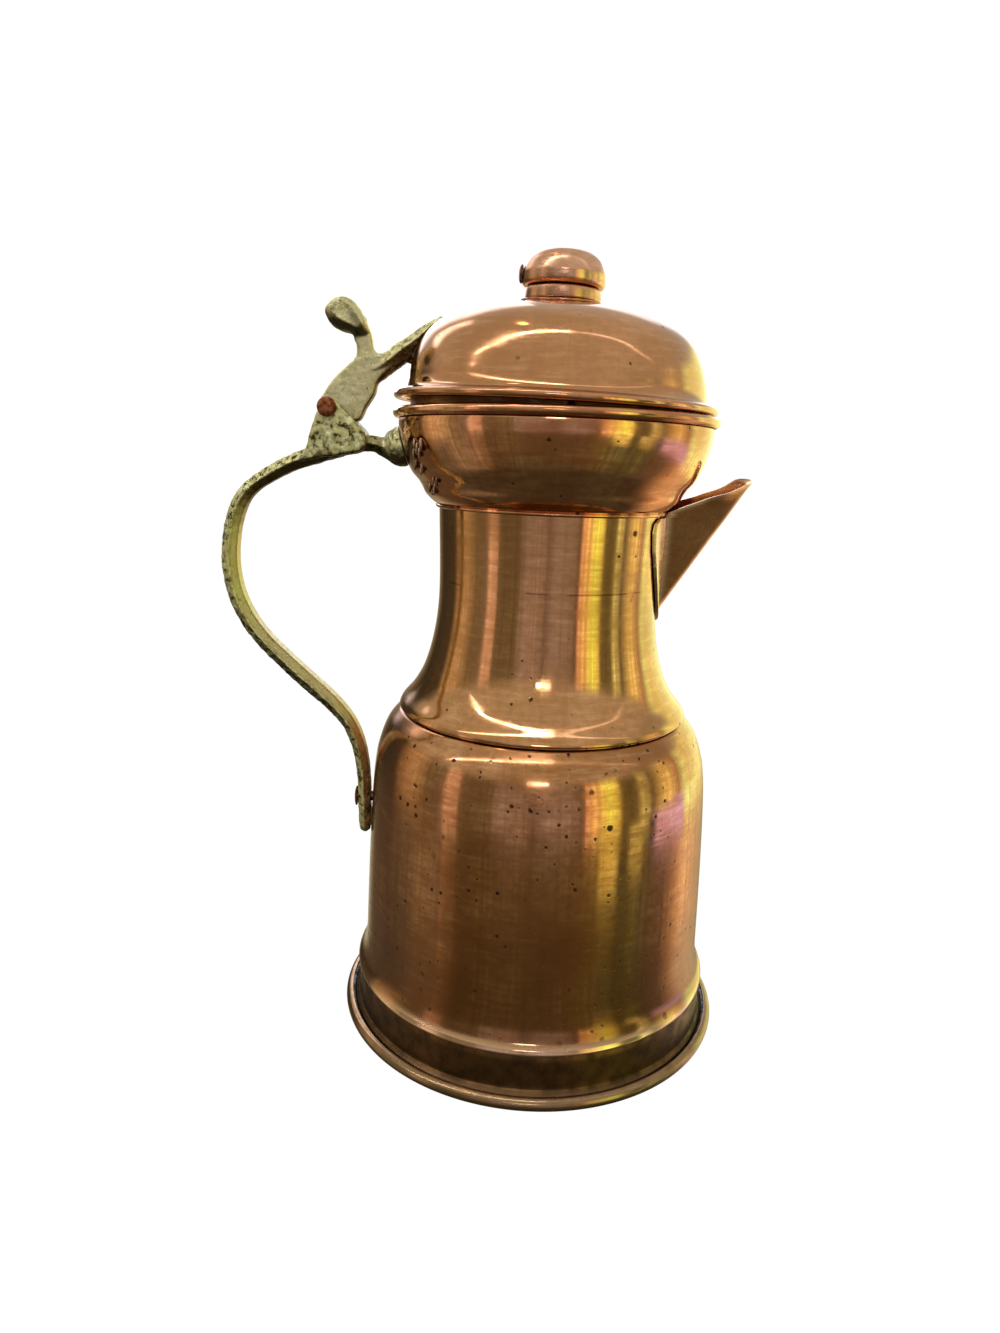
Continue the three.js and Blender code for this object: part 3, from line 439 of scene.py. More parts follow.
def spun_copper(name, bright, tarnish, clouds, specks, gloss, wave_mm=0.05, shift=0.0, edge=None,
                brushed=0.5):
    material, tree, place = new_metal(name)
    cloud_inputs = [noise_of(tree, place, 30, 4, shift), *clouds]
    cloud = add(tree, "ShaderNodeMapRange", cloud_inputs, **SMOOTH)[0]
    drift = noise_of(tree, place, 7, 4, shift + 3)
    mottle = noise_of(tree, place, 2.2, 4, shift + 1, 0.6)
    # The rings of the polishing cloth waver a little, and its wiping leaves level streaks
    along = add(tree, "ShaderNodeAttribute", attribute_name="along")["Fac"]
    ring_place = add(tree, "ShaderNodeMath", [along, 1 / RING_PITCH], operation="MULTIPLY")[0]
    ring_place = add(tree, "ShaderNodeMath", [drift, 0.5, ring_place], operation="MULTIPLY_ADD")[0]
    ring_inputs = {"W": ring_place, "Scale": 1.0, "Detail": 2.0}
    rings = add(tree, "ShaderNodeTexNoise", ring_inputs, noise_dimensions="1D")["Fac"]
    drawn_out = add(tree, "ShaderNodeMapping", {"Vector": place, "Scale": (1.0, 1.0, 7.0)})[0]
    wipe = noise_of(tree, drawn_out, 11, 5, shift + 2, 0.65)
    speck = specks_of(tree, place, specks, shift)
    colour = paint(
        tree, bright,
        (tarnish, cloud),
        (tarnish, drift, 0.45, 0.75, 0, 0.35),
        (tarnish, mottle, 0.38, 0.68, 0, 0.45),
        (tarnish, rings, 0.4, 0.7, 0, 0.3),
        (tarnish, wipe, 0.42, 0.68, 0, 0.5),
        (RUBBED_TONE, wipe, 0.5, 0.25, 0, 0.25),
        (SPECK_TONE, speck))
    if edge is not None:
        colour = edge(tree, colour, place)
    rough = summed(
        tree, (cloud, 0, 1, gloss, gloss + 0.07), (rings, 0.3, 0.75, -0.01, 0.04),
        (wipe, 0.35, 0.7, -0.02, 0.09))
    rough = add(tree, "ShaderNodeMath", [speck, 0.35, rough], operation="MULTIPLY_ADD")[0]
    sunk = add(tree, "ShaderNodeMath", [speck, -1.0], operation="MULTIPLY")[0]
    surface = relief(
        tree, (noise_of(tree, place, 24, 1, shift + 5), wave_mm),
        (noise_of(tree, place, 6, 2, shift + 9), wave_mm * 0.1), (rings, 0.003), (sunk, 0.02))
    finish_metal(tree, colour, rough, surface, brushed)
    return material


print("rings every", RING_PITCH, "mm")

# %% What is special about one shell
SCRATCH_Z = 143


def foot_highlight_and_dark_reflection(tree, colour, place):
    """A painted highlight along the edge above the foot band, and painted dark reflection of the
    ground low on the body.
    """
    up = add(tree, "ShaderNodeSeparateXYZ", [place])[2]
    # Painted darkening towards the bottom of the body for the dark ground it mirrors, and a painted
    # highlight on the step's lip
    return paint(tree, colour, ("#7A5030", up, 17.5 * MM, 66 * MM, 0.6, 0.0),
                 ("#F0C098", up, 15.2 * MM, 19.4 * MM, 0.9, 0.0))


def neck_scratch(tree, colour, place):
    """The broken line where the polishing of the neck was started twice."""
    up = add(tree, "ShaderNodeSeparateXYZ", [place])[2]
    away = add(tree, "ShaderNodeMath", [up, SCRATCH_Z * MM], operation="SUBTRACT")[0]
    away = add(tree, "ShaderNodeMath", [away], operation="ABSOLUTE")[0]
    line_inputs = [away, 0.12 * MM, 0.34 * MM, 0.6, 0.0]
    line = add(tree, "ShaderNodeMapRange", line_inputs, **SMOOTH)[0]
    broken_inputs = [noise_of(tree, place, 9, 1, 4.4), 0.45, 0.56]
    broken = add(tree, "ShaderNodeMapRange", broken_inputs, **SMOOTH)[0]
    scratch = add(tree, "ShaderNodeMath", [line, broken], operation="MULTIPLY")[0]
    return paint(tree, colour, ("#6A2C24", scratch))


def highlit_rubbed_folds(tree, colour, place):
    """The folds and edges of the beak, lighter where cloths reach them and as a painted highlight
    along them.
    """
    # The edges, keel and seam are painted lighter: partly rubbing, partly a painted highlight
    rubbed = add(tree, "ShaderNodeAttribute", attribute_name="rubbed")["Fac"]
    rubbed = add(tree, "ShaderNodeMath", [rubbed, 0.8], operation="MULTIPLY")[0]
    return paint(tree, colour, ("#FFCB9C", rubbed))


print("scratch on the neck at", SCRATCH_Z, "mm")

# %% The finishes of copper
# The body was handled most: brown clouds and many specks
copper_body = spun_copper(
    "spun_copper_body", "#CC8F60", "#98623A", (0.38, 0.68), 0.9, 0.08, edge=foot_highlight_and_dark_reflection)
# The neck is the cleanest, because hands and water miss it
copper_neck = spun_copper(
    "spun_copper_neck", "#D09464", "#A87448", (0.42, 0.7), 0.2, 0.05, 0.05, 0.4, neck_scratch, 0.25)
# The bowl is pink and glossy, and a little beaten out of round
copper_bowl = spun_copper(
    "spun_copper_bowl", "#E8A878", "#B07048", (0.4, 0.68), 0.12, 0.05, 0.07, 0.8, brushed=0.25)
# The dome has the smoothest wave and hardly a speck
copper_dome = spun_copper(
    "spun_copper_dome", "#CC8E62", "#B27A50", (0.38, 0.7), 0.08, 0.05, 0.03, 1.3, brushed=0.2)
# The knob is rubbed by fingers on each lift: pale and satin
copper_knob = spun_copper(
    "spun_copper_knob", "#E4AC8A", "#BC8460", (0.45, 0.7), 0.04, 0.17, 0.02, 1.7, brushed=0.0)
# The beak is plain sheet, folded and never spun, so it has no pull in its gloss
copper_spout = spun_copper(
    "folded_copper_sheet", "#D49A66", "#8C5C34", (0.35, 0.62), 0.1, 0.15, 0.12, 2.2, highlit_rubbed_folds, 0.0)
# No cloth reaches the inside, which stays brown and dull
copper_inside = spun_copper(
    "spun_copper_unpolished_inside", "#A86A40", "#5E3E24", (0.3, 0.6), 0.5, 0.34, 0.05, 3.1)
print("materials:", len(bpy.data.materials))

# %% [markdown]
# The foot band was never rubbed: it kept its dark brown skin, and only its bead is bright where
# cloths and shelves touch it, a brightness that is also a painted highlight along the bead. The
# material reads how far a point lies from the jug's axis, so the bright metal starts exactly where
# the band turns into the bead.

# %% Dark patina with a rubbed bead
BEAD_RUBBED_AND_HIGHLIT = (58.2, 60.2)


def patinated_copper(name, bead_from_mm, bead_to_mm):
    material, tree, place = new_metal(name)
    parts = add(tree, "ShaderNodeSeparateXYZ", [place])
    flat = add(tree, "ShaderNodeCombineXYZ", [parts[0], parts[1]])[0]
    radius = add(tree, "ShaderNodeVectorMath", [flat], operation="LENGTH")["Value"]
    drift = noise_of(tree, place, 5, 4)
    fine = noise_of(tree, place, 1.1, 3)
    ragged = add(tree, "ShaderNodeMath", [drift, RAGGED_MM * MM, radius], operation="MULTIPLY_ADD")[0]
    # The bead is painted brighter: partly rubbing, partly a painted highlight along it
    rubbed_inputs = [ragged, bead_from_mm * MM, bead_to_mm * MM]
    rubbed = add(tree, "ShaderNodeMapRange", rubbed_inputs, **SMOOTH)[0]
    bead = paint(tree, "#947252", ("#6E4E34", drift, 0.4, 0.7, 0, 0.5))
    colour = paint(
        tree, "#6A4A2C", ("#402C1A", drift, 0.3, 0.7), ("#6B4824", fine, 0.5, 0.8, 0, 0.4),
        (bead, rubbed))
    rough = summed(tree, (drift, 0.3, 0.7, 0.36, 0.48))
    rough = add(tree, "ShaderNodeMath", [rubbed, -0.18, rough], operation="MULTIPLY_ADD")[0]
    finish_metal(tree, colour, rough, relief(tree, (drift, 0.03), (fine, 0.003)), 0.3)
    return material


foot_copper = patinated_copper("patinated_copper_foot", *BEAD_RUBBED_AND_HIGHLIT)
print("bead rubbed from", BEAD_RUBBED_AND_HIGHLIT[0], "mm off the axis")

# %% [markdown]
# ## Cast brass and the small metals
#
# The handle and the lever were cast in sand. Sand leaves a pebbled skin of hollows and grains,
# yellow-green where it is thinly tarnished and nearly black in the hollows. Fingers and files
# polish the faces they reach, to a gold that on the strap's inner side also stands for painted
# light. The undersides are painted dark: painted shade. The mesh carries both as attributes:
# one is 0 for raw skin and 1 for a rubbed face, and under is 1 where a face looks down. So one
# material covers the whole casting.

# %% Sand-cast brass, matte pin copper, iron wire and solder
def cast_brass(name, skin, hollow, rubbed_and_lit_tone, skin_rough=0.5):
    material, tree, place = new_metal(name)
    worn, under = (add(tree, "ShaderNodeAttribute", attribute_name=key)["Fac"]
                   for key in ("worn", "under"))
    grains = noise_of(tree, place, 1.5, 5, 0.0, 0.62)
    pebbles = noise_of(tree, place, 3.4, 3, 0.5)
    smear = noise_of(tree, place, 9, 3, 0.9)
    # Rubbed faces get a gold tone, which on the strap's inner side is also painted light
    clean = paint(
        tree, rubbed_and_lit_tone, (skin, smear, 0.4, 0.7), (hollow, grains, 0.52, 0.7, 0, 0.5))
    # Faces that look down are painted dark: painted shade under the casting
    painted_underside_shade = add(tree, "ShaderNodeMath", [under, 0.85], operation="MULTIPLY")[0]
    colour = paint(
        tree, hollow, (skin, grains, 0.37, 0.53), ("#F0E8B4", pebbles, 0.45, 0.7, 0, 0.7),
        (clean, worn), ("#2A200E", painted_underside_shade))
    rough = summed(tree, (grains, 0.35, 0.65, skin_rough + 0.16, skin_rough - 0.1))
    rough = add(tree, "ShaderNodeMath", [worn, -0.1, rough], operation="MULTIPLY_ADD")[0]
    depth = add(tree, "ShaderNodeMath", [worn, -0.75, 1.0], operation="MULTIPLY_ADD")[0]
    coarse, fine = (add(tree, "ShaderNodeMath", [pattern, depth], operation="MULTIPLY")[0]
                    for pattern in (pebbles, grains))
    finish_metal(tree, colour, rough, relief(tree, (coarse, 0.35), (fine, 0.22)))
    return material


def plain_metal(name, tone, shade, feature_mm, rough_low, rough_high, bump_mm):
    material, tree, place = new_metal(name)
    drift = noise_of(tree, place, feature_mm, 4)
    rough = summed(tree, (drift, 0.3, 0.7, rough_high, rough_low))
    colour = paint(tree, shade, (tone, drift, 0.35, 0.65))
    finish_metal(tree, colour, rough, relief(tree, (drift, bump_mm)))
    return material


brass_handle = cast_brass("sand_cast_brass_handle", "#C6BA82", "#463C20", "#C4B07E")
brass_lever = cast_brass("sand_cast_brass_lever", "#C8B87C", "#6E6434", "#D2C294", 0.46)
# Each hammer blow leaves its own small face, so a pin's head is dull and freckled
pin_copper = plain_metal("hammered_pin_copper", "#A0603E", "#6E3A22", 1.3, 0.5, 0.65, 0.05)
# Old rivet heads are nearly black where dirt stays
old_rivet = plain_metal("tarnished_rivet_copper", "#8A5A38", "#38241A", 1.1, 0.4, 0.6, 0.06)
# Drawn wire is grey and even along its length
iron_wire = plain_metal("drawn_iron_wire", "#7A7672", "#4A4642", 2.0, 0.45, 0.65, 0.02)
# Solder that cooled by itself is dull, and brown from the smoke of the flame
soft_solder = plain_metal("dark_soft_solder", "#C8A88C", "#86684E", 2.2, 0.5, 0.7, 0.03)
print("materials:", len(bpy.data.materials))

# %% [markdown]
# ## Outlines
#
# A spinner works from a template of the outline. Each shell here starts the same way, as a short
# list of points [radius, height] with a smooth line through them. The metal's thickness is then
# laid off to one side of that line, as the sheet lies against its template.

# %% Lines and sections
SHEET = 0.7
SEAT_GAP = 0.3
WIRE_GAP = 0.15


def through(points, steps=7):
    """A smooth line through all the points, in equal steps between each two."""
    known = [np.array(p, float) for p in points]
    line = []
    for i in range(len(known) - 1):
        p0, p1, p2 = known[max(i - 1, 0)], known[i], known[i + 1]
        p3 = known[min(i + 2, len(known) - 1)]
        for t in np.linspace(0, 1, steps, endpoint=False):
            bend = (2 * p0 - 5 * p1 + 4 * p2 - p3) * t * t + (3 * (p1 - p2) + p3 - p0) * t ** 3
            line.append((2 * p1 + (p2 - p0) * t + bend) / 2)
    return line + [known[-1]]


def arc(centre, radius, start, end, steps):
    turns = np.radians(np.linspace(start, end, steps + 1))
    return [(centre[0] + radius * math.cos(a), centre[1] + radius * math.sin(a)) for a in turns]


def offset(line, distance):
    """The line moved to its right by a distance, or to its left where that is negative."""
    points = np.array(line, float)
    tangent = np.gradient(points, axis=0)
    tangent /= np.linalg.norm(tangent, axis=1, keepdims=True)
    return list(points + np.column_stack((tangent[:, 1], -tangent[:, 0])) * distance)


def sheet_section(middle):
    """The closed section of a sheet, half its thickness to each side of its middle line."""
    outer = offset(middle, SHEET / 2)
    inner = offset(middle, -SHEET / 2)
    return outer + inner[::-1] + outer[:1]


def middle_of(outer):
    return offset(outer, -SHEET / 2)


print("sheet:", SHEET, "mm")

# %% [markdown]
# ## Spinning the shells
#
# A shell could be made with a Screw modifier, but that would leave nothing to read the length
# along the outline from. A small Geometry Nodes tree does both: it lays a grid whose rows are
# the outline's points and whose columns go once round the axis, bends it into the shell, and
# stores along for the rings. It also gives spun sheet its slight waviness, from one seed.

# %% Inputs of the spinning tree
def socket(tree, name, kind, default=None, in_out="INPUT"):
    made = tree.interface.new_socket(name=name, in_out=in_out, socket_type=kind)
    if default is not None:
        made.default_value = default
    return made.identifier


spin_tree = bpy.data.node_groups.new("spun_sheet", "GeometryNodeTree")
socket(spin_tree, "Geometry", "NodeSocketGeometry", in_out="OUTPUT")
socket(spin_tree, "Outline", "NodeSocketGeometry")
SPIN = {
    "columns": socket(spin_tree, "Columns", "NodeSocketInt", 192),
    "waviness": socket(spin_tree, "Waviness", "NodeSocketFloat", 0.0),
    "seed": socket(spin_tree, "Seed", "NodeSocketFloat", 1.0),
    "metal": socket(spin_tree, "Metal", "NodeSocketMaterial"),
}
print("inputs for spinning:", ", ".join(SPIN))

# %% A flat grid with one row for each point of the outline
given = add(spin_tree, "NodeGroupInput")
rows = add(spin_tree, "GeometryNodeAttributeDomainSize", [given["Outline"]])[0]
columns = add(spin_tree, "ShaderNodeMath", [given["Columns"], 1.0], operation="ADD")[0]
grid = add(spin_tree, "GeometryNodeMeshGrid", {
    "Size X": 1.0, "Size Y": 1.0, "Vertices X": rows, "Vertices Y": columns})["Mesh"]
here = add(spin_tree, "GeometryNodeInputPosition")[0]
on_grid = add(spin_tree, "ShaderNodeSeparateXYZ", [here])
last_row = add(spin_tree, "ShaderNodeMath", [rows, 1.0], operation="SUBTRACT")[0]
row = add(spin_tree, "ShaderNodeMath", [on_grid[0], 0.5], operation="ADD")[0]
row = add(spin_tree, "ShaderNodeMath", [row, last_row], operation="MULTIPLY")[0]
row = add(spin_tree, "ShaderNodeMath", [row], operation="ROUND")[0]
turn = add(spin_tree, "ShaderNodeMath", [on_grid[1], 0.5], operation="ADD")[0]
turn = add(spin_tree, "ShaderNodeMath", [turn, math.tau], operation="MULTIPLY")[0]
print("grid of the tree:", len(spin_tree.nodes), "nodes")

# %% Each point at the radius and the height of its row
template = add(spin_tree, "GeometryNodeSampleIndex", {
    "Geometry": given["Outline"], "Value": here, "Index": row}, data_type="FLOAT_VECTOR")[0]
template = add(spin_tree, "ShaderNodeSeparateXYZ", [template])
aim_x, aim_y = (add(spin_tree, "ShaderNodeMath", [turn], operation=kind)[0]
                for kind in ("COSINE", "SINE"))
outwards = add(spin_tree, "ShaderNodeCombineXYZ", [aim_x, aim_y])[0]
at_height = add(spin_tree, "ShaderNodeCombineXYZ", {2: template[2]})[0]
bent = add(spin_tree, "ShaderNodeVectorMath", {0: outwards, 3: template[0]}, operation="SCALE")[0]
bent = add(spin_tree, "ShaderNodeVectorMath", [bent, at_height], operation="ADD")[0]
print("spun places:", len(spin_tree.nodes), "nodes")

# %% Waviness, ring lengths and metal
SWELL_MM = 40

# A slow noise moves each point in or out
swell = add(spin_tree, "ShaderNodeTexNoise", {
    "Vector": bent, "W": given["Seed"], "Scale": per_metre(SWELL_MM), "Detail": 0.0},
    noise_dimensions="4D")["Fac"]
swell = add(spin_tree, "ShaderNodeMath", [swell, 0.5], operation="SUBTRACT")[0]
swell = add(spin_tree, "ShaderNodeMath", [swell, given["Waviness"]], operation="MULTIPLY")[0]
wave = add(spin_tree, "ShaderNodeVectorMath", {0: outwards, 3: swell}, operation="SCALE")[0]
final = add(spin_tree, "ShaderNodeVectorMath", [bent, wave], operation="ADD")[0]
shell = add(spin_tree, "GeometryNodeSetPosition", {"Geometry": grid, "Position": final})[0]

# Each point keeps its length along the outline for the rings, and the seam is closed
along = add(spin_tree, "GeometryNodeInputNamedAttribute", {"Name": "along"})[0]
along = add(spin_tree, "GeometryNodeSampleIndex", {
    "Geometry": given["Outline"], "Value": along, "Index": row}, data_type="FLOAT")[0]
shell = add(spin_tree, "GeometryNodeStoreNamedAttribute", {
    "Geometry": shell, "Name": "along", "Value": along}, data_type="FLOAT", domain="POINT")[0]
shell = add(spin_tree, "GeometryNodeMergeByDistance", {"Geometry": shell, "Distance": 2e-6})[0]
shell = add(spin_tree, "GeometryNodeRealizeInstances", {"Geometry": shell})[0]
shell = add(spin_tree, "GeometryNodeSetMaterial", {
    "Geometry": shell, "Material": given["Metal"]})[0]
add(spin_tree, "NodeGroupOutput", [shell])
print("spinning tree:", len(spin_tree.nodes), "nodes")

# %% From a tree to a finished piece
CREASE_DEGREES = 42
made_pieces = {}


def settle(piece, sharp_degrees=CREASE_DEGREES):
    """A plain mesh with joined seams, faces out and creases only where it turns sharply."""
    shape = bmesh.new()
    shape.from_mesh(piece.data)
    bmesh.ops.remove_doubles(shape, verts=shape.verts, dist=1e-7)
    bmesh.ops.dissolve_degenerate(shape, edges=shape.edges, dist=1e-7)
    bmesh.ops.recalc_face_normals(shape, faces=shape.faces)
    for face in shape.faces:
        face.smooth = True
    shape.to_mesh(piece.data)
    shape.free()
    piece.data.set_sharp_from_angle(angle=math.radians(sharp_degrees))
    return piece


def applied(piece):
    """The piece as a plain mesh, with its modifiers worked into it."""
    bpy.context.view_layer.update()
    seen_now = piece.evaluated_get(bpy.context.evaluated_depsgraph_get())
    result = bpy.data.meshes.new_from_object(seen_now)
    piece.modifiers.clear()
    old = piece.data
    piece.data = result
    bpy.data.meshes.remove(old)
    return piece


print("creases from", CREASE_DEGREES, "degrees")

# %% Objects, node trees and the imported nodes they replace
def place_in_scene(name, mesh):
    piece = bpy.data.objects.new(name, mesh)
    bpy.context.scene.collection.objects.link(piece)
    return piece


def from_shape(name, shape):
    """An object made of a bmesh, with its faces turned outwards."""
    bmesh.ops.recalc_face_normals(shape, faces=shape.faces)
    mesh = bpy.data.meshes.new(name)
    shape.to_mesh(mesh)
    shape.free()
    return place_in_scene(name, mesh)


def grow(piece, tree, sockets, **values):
    """Works a node tree into a piece, with a value for each of the tree's named inputs."""
    modifier = piece.modifiers.new(tree.name, "NODES")
    modifier.node_group = tree
    for key, value in values.items():
        modifier[sockets[key]] = value
    return applied(piece)


def hand_over(piece, body, slot, *nodes):
    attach(piece, body)
    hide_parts(*nodes)
    made_pieces[piece.name] = len(piece.data.polygons)
    print(f"{piece.name}: {len(piece.data.polygons)} faces")


# %% Spin one shell
def spin(name, section, metal, columns_round=192, waviness_mm=0.0, seed=1.0, matrix=None):
    points = np.array(section, float)
    steps = np.linalg.norm(np.diff(points, axis=0), axis=1)
    mesh = bpy.data.meshes.new(name)
    vertices = [(r * MM, 0, z * MM) for r, z in points]
    mesh.from_pydata(vertices, [(i, i + 1) for i in range(len(vertices) - 1)], [])
    lengths = mesh.attributes.new("along", "FLOAT", "POINT")
    lengths.data.foreach_set("value", np.concatenate(([0], np.cumsum(steps))))
    piece = grow(place_in_scene(name, mesh), spin_tree, SPIN, columns=columns_round,
                 waviness=waviness_mm * MM, seed=seed, metal=metal)
    if matrix is not None:
        piece.data.transform(matrix)
    return settle(piece)


print("materials ready for spinning:", len(bpy.data.materials))

# %% [markdown]
# ## The jug's shells
#
# From the foot up: a dark band with a bead rolled round a wire, the base disc inside it, the
# body whose lower edge steps out over the band, the neck that laps over the body's shoulder, and
# the bowl of the mouth with its collar, its moulded band and the wired rim.

# %% Foot
FOOT_R = 62
FOOT_BEAD = 2.1
FOOT_BAND_R = 57.5
STEP_Z = 15.2
STEP_R = 57.9
STEP_LIP_R = 0.8
BASE_UNDERSIDE_Z = 0.5
BASE_FLANGE_TOP = 6.5
BELLY_R = 55.1
BELLY_Z = 27

foot_bead_centre = (FOOT_R - FOOT_BEAD, FOOT_BEAD)
band_middle = FOOT_BAND_R - SHEET / 2
foot_middle = (
    arc(foot_bead_centre, FOOT_BEAD - SHEET / 2, 90, -215, 44)
    + through([(band_middle + 0.5, 4.1), (band_middle, 5.6), (band_middle, STEP_Z - 0.9)], 5)
    + through([(STEP_R - 1.85, STEP_Z + 1), (STEP_R - 2.7, STEP_Z + 3.4)], 2)
)
foot_ring = spin("foot_band_with_bead", sheet_section(foot_middle), foot_copper, 192, 0.08, 2)
hand_over(foot_ring, "jug", "dark_copper", "foot_ring")

# %% Wire and base disc
def wire(name, centre, bead, node, body, matrix=None):
    section = arc(centre, bead - SHEET - WIRE_GAP, 0, 360, 12)
    ring = spin(name, section, iron_wire, 128, matrix=matrix)
    hand_over(ring, body, "iron_wire", node)


wire("wire_in_foot_bead", foot_bead_centre, FOOT_BEAD, "foot_wire", "jug")

base_r = FOOT_BAND_R - SHEET * 1.5 - SEAT_GAP
base_z = BASE_UNDERSIDE_Z + SHEET / 2
base_middle = (
    through([(0, base_z), (18, base_z), (36, base_z), (base_r - 1.4, base_z)], 4)
    + arc((base_r - 1.2, base_z + 1.2), 1.2, -75, 0, 6)
    + [(base_r, BASE_FLANGE_TOP)]
)
base_disc = spin("base_disc_soldered_in", sheet_section(base_middle), copper_inside, 160, 0.1, 4)
hand_over(base_disc, "jug", "copper", "base_disc")

# %% Body
BODY_TURN_R = 52.4
BODY_TURN_Z = 86.3
SHOULDER_R = 45.3
SHOULDER_Z = 101.5
SHOULDER_LAP = 2.8

step_line = arc((STEP_R - STEP_LIP_R, STEP_Z + STEP_LIP_R), STEP_LIP_R, -100, 28, 10) + through([
    (STEP_R - 0.35, STEP_Z + 1.9),
    (STEP_R - 1.5, STEP_Z + 3.7),
    (BELLY_R + 0.5, STEP_Z + 6.8),
    (BELLY_R, BELLY_Z),
], 6)
body_line = step_line + through([
    (BELLY_R, BELLY_Z),
    (BELLY_R - 0.6, BELLY_Z + 25),
    (BODY_TURN_R + 1, BODY_TURN_Z - 10),
    (BODY_TURN_R, BODY_TURN_Z),
    (BODY_TURN_R - 1, BODY_TURN_Z + 4.4),
    (BODY_TURN_R - 2.4, BODY_TURN_Z + 8.6),
    (SHOULDER_R + 2.9, SHOULDER_Z - 3.3),
    (SHOULDER_R, SHOULDER_Z - 0.2),
], 8)[1:]
shoulder_lap = [
    (SHOULDER_R - SHEET - SEAT_GAP, SHOULDER_Z + 0.3),
    (SHOULDER_R - SHEET - SEAT_GAP - 0.2, SHOULDER_Z + 1.2),
    (SHOULDER_R - SHEET - SEAT_GAP - 1.3, SHOULDER_Z + SHOULDER_LAP),
]
body_section = sheet_section(middle_of(body_line + shoulder_lap))
lower_body = spin("lower_body_spun", body_section, copper_body, 224, 0.22, 7)
print("body:", len(lower_body.data.polygons), "faces")

# %% Neck
NECK_R = 33.6
NECK_Z = 144
NECK_TOP_R = 34.1
NECK_LAP = 3.3
COLLAR_R = 35.1
COLLAR_Z = 164.2
COLLAR_H = 1.2

neck_line = arc((SHOULDER_R - 0.6, SHOULDER_Z + 1.3), 0.6, -80, 20, 6) + through([
    (SHOULDER_R - 0.2, SHOULDER_Z + 1.9),
    (SHOULDER_R - 1, SHOULDER_Z + 3.3),
    (SHOULDER_R - 4.3, SHOULDER_Z + 7.3),
    (NECK_R + 4.2, NECK_Z - 29.2),
    (NECK_R + 1.8, NECK_Z - 21),
    (NECK_R + 0.3, NECK_Z - 11),
    (NECK_R, NECK_Z),
    (NECK_TOP_R, COLLAR_Z - 1.2),
], 8)
neck_lap = [
    (COLLAR_R - SHEET - SEAT_GAP, COLLAR_Z - 0.4),
    (COLLAR_R - SHEET - SEAT_GAP, COLLAR_Z + NECK_LAP),
]
neck_section = sheet_section(middle_of(neck_line + neck_lap))
neck = spin("neck_spun", neck_section, copper_neck, 208, 0.2, 11)
print("neck:", len(neck.data.polygons), "faces")

# %% Mouth bowl
RIM_R = 48.4
RIM_BEAD = 1.45
RIM_Z = 191.1
BOWL_WALL_R = 46.7

band_line = arc((COLLAR_R - 0.5, COLLAR_Z + 0.6), 0.6, -70, 60, 7) + through([
    (COLLAR_R + 0.3, COLLAR_Z + COLLAR_H + 0.2),
    (COLLAR_R + 1.6, COLLAR_Z + 2.4),
    (COLLAR_R + 3.3, COLLAR_Z + 4.2),
    (COLLAR_R + 4.3, COLLAR_Z + 6.2),
    (COLLAR_R + 5.4, COLLAR_Z + 7.9),
], 5)
bowl_wall = through([
    (COLLAR_R + 7.1, COLLAR_Z + 9.7),
    (BOWL_WALL_R - 3.1, RIM_Z - 14.8),
    (BOWL_WALL_R - 1.4, RIM_Z - 10.2),
    (BOWL_WALL_R - 0.3, RIM_Z - 5.7),
    (BOWL_WALL_R, RIM_Z - 2.9),
], 7)
bowl_line = band_line + bowl_wall
rim_centre = (RIM_R - RIM_BEAD, RIM_Z)
bowl_middle = middle_of(bowl_line) + arc(rim_centre, RIM_BEAD - SHEET / 2, 232, -75, 36)
mouth_bowl = spin("mouth_bowl_spun", sheet_section(bowl_middle), copper_bowl, 208, 0.16, 13)
wire("wire_in_rim_bead", rim_centre, RIM_BEAD, "rim_wire", "jug")

# %% [markdown]
# ## The lid's shells
#
# The lid is not quite level: it leans a little towards the spout and the front, as an old hinge
# lets it. All its pieces are made upright and then turned together by one matrix, so they keep
# sharing one axis.

# %% Lid dome and its wire
LID_R = 47.8
LID_BEAD = 1.25
LID_Z = 195.35
LID_SHIFT = -0.4
LID_LEAN_SPOUTWARD = 0.0215
LID_LEAN_FORWARD = 0.015
DOME_TOP_Z = 223.5
BEZEL_R = 42.9
BEZEL_DEPTH = 6.2
BEZEL_TOP_Z = 200.8
KNOB_COLLAR_R = 11.2
KNOB_STEM_R = 3.4

lid_seat = (
    Matrix.Translation(Vector((LID_SHIFT, 0, LID_Z)) * MM)
    @ Matrix.Rotation(LID_LEAN_SPOUTWARD, 4, "Y")
    @ Matrix.Rotation(LID_LEAN_FORWARD, 4, "X")
    @ Matrix.Translation(Vector((0, 0, -LID_Z)) * MM)
)
dome_line = through([
    (LID_R - 1.9, LID_Z + 1.55),
    (LID_R - 2.8, LID_Z + 2.5),
    (LID_R - 3.6, LID_Z + 4.2),
    (LID_R - 4.2, LID_Z + 6.8),
    (LID_R - 5.6, LID_Z + 11.8),
    (LID_R - 8.2, DOME_TOP_Z - 11.2),
    (LID_R - 12.2, DOME_TOP_Z - 7.3),
    (LID_R - 18.8, DOME_TOP_Z - 3.9),
    (LID_R - 27.8, DOME_TOP_Z - 1.4),
    (KNOB_COLLAR_R, DOME_TOP_Z - 0.2),
    (KNOB_STEM_R + SEAT_GAP, DOME_TOP_Z),
], 8)
lid_bead_centre = (LID_R - LID_BEAD, LID_Z)
dome_middle = arc(lid_bead_centre, LID_BEAD - SHEET / 2, -225, 62, 34) + middle_of(dome_line)
lid_dome = spin("lid_dome_spun", sheet_section(dome_middle), copper_dome, 208, 0.14, 17,
                matrix=lid_seat)
hand_over(lid_dome, "lid", "copper", "lid_dome")
wire("wire_in_lid_bead", lid_bead_centre, LID_BEAD, "lid_wire", "lid", lid_seat)

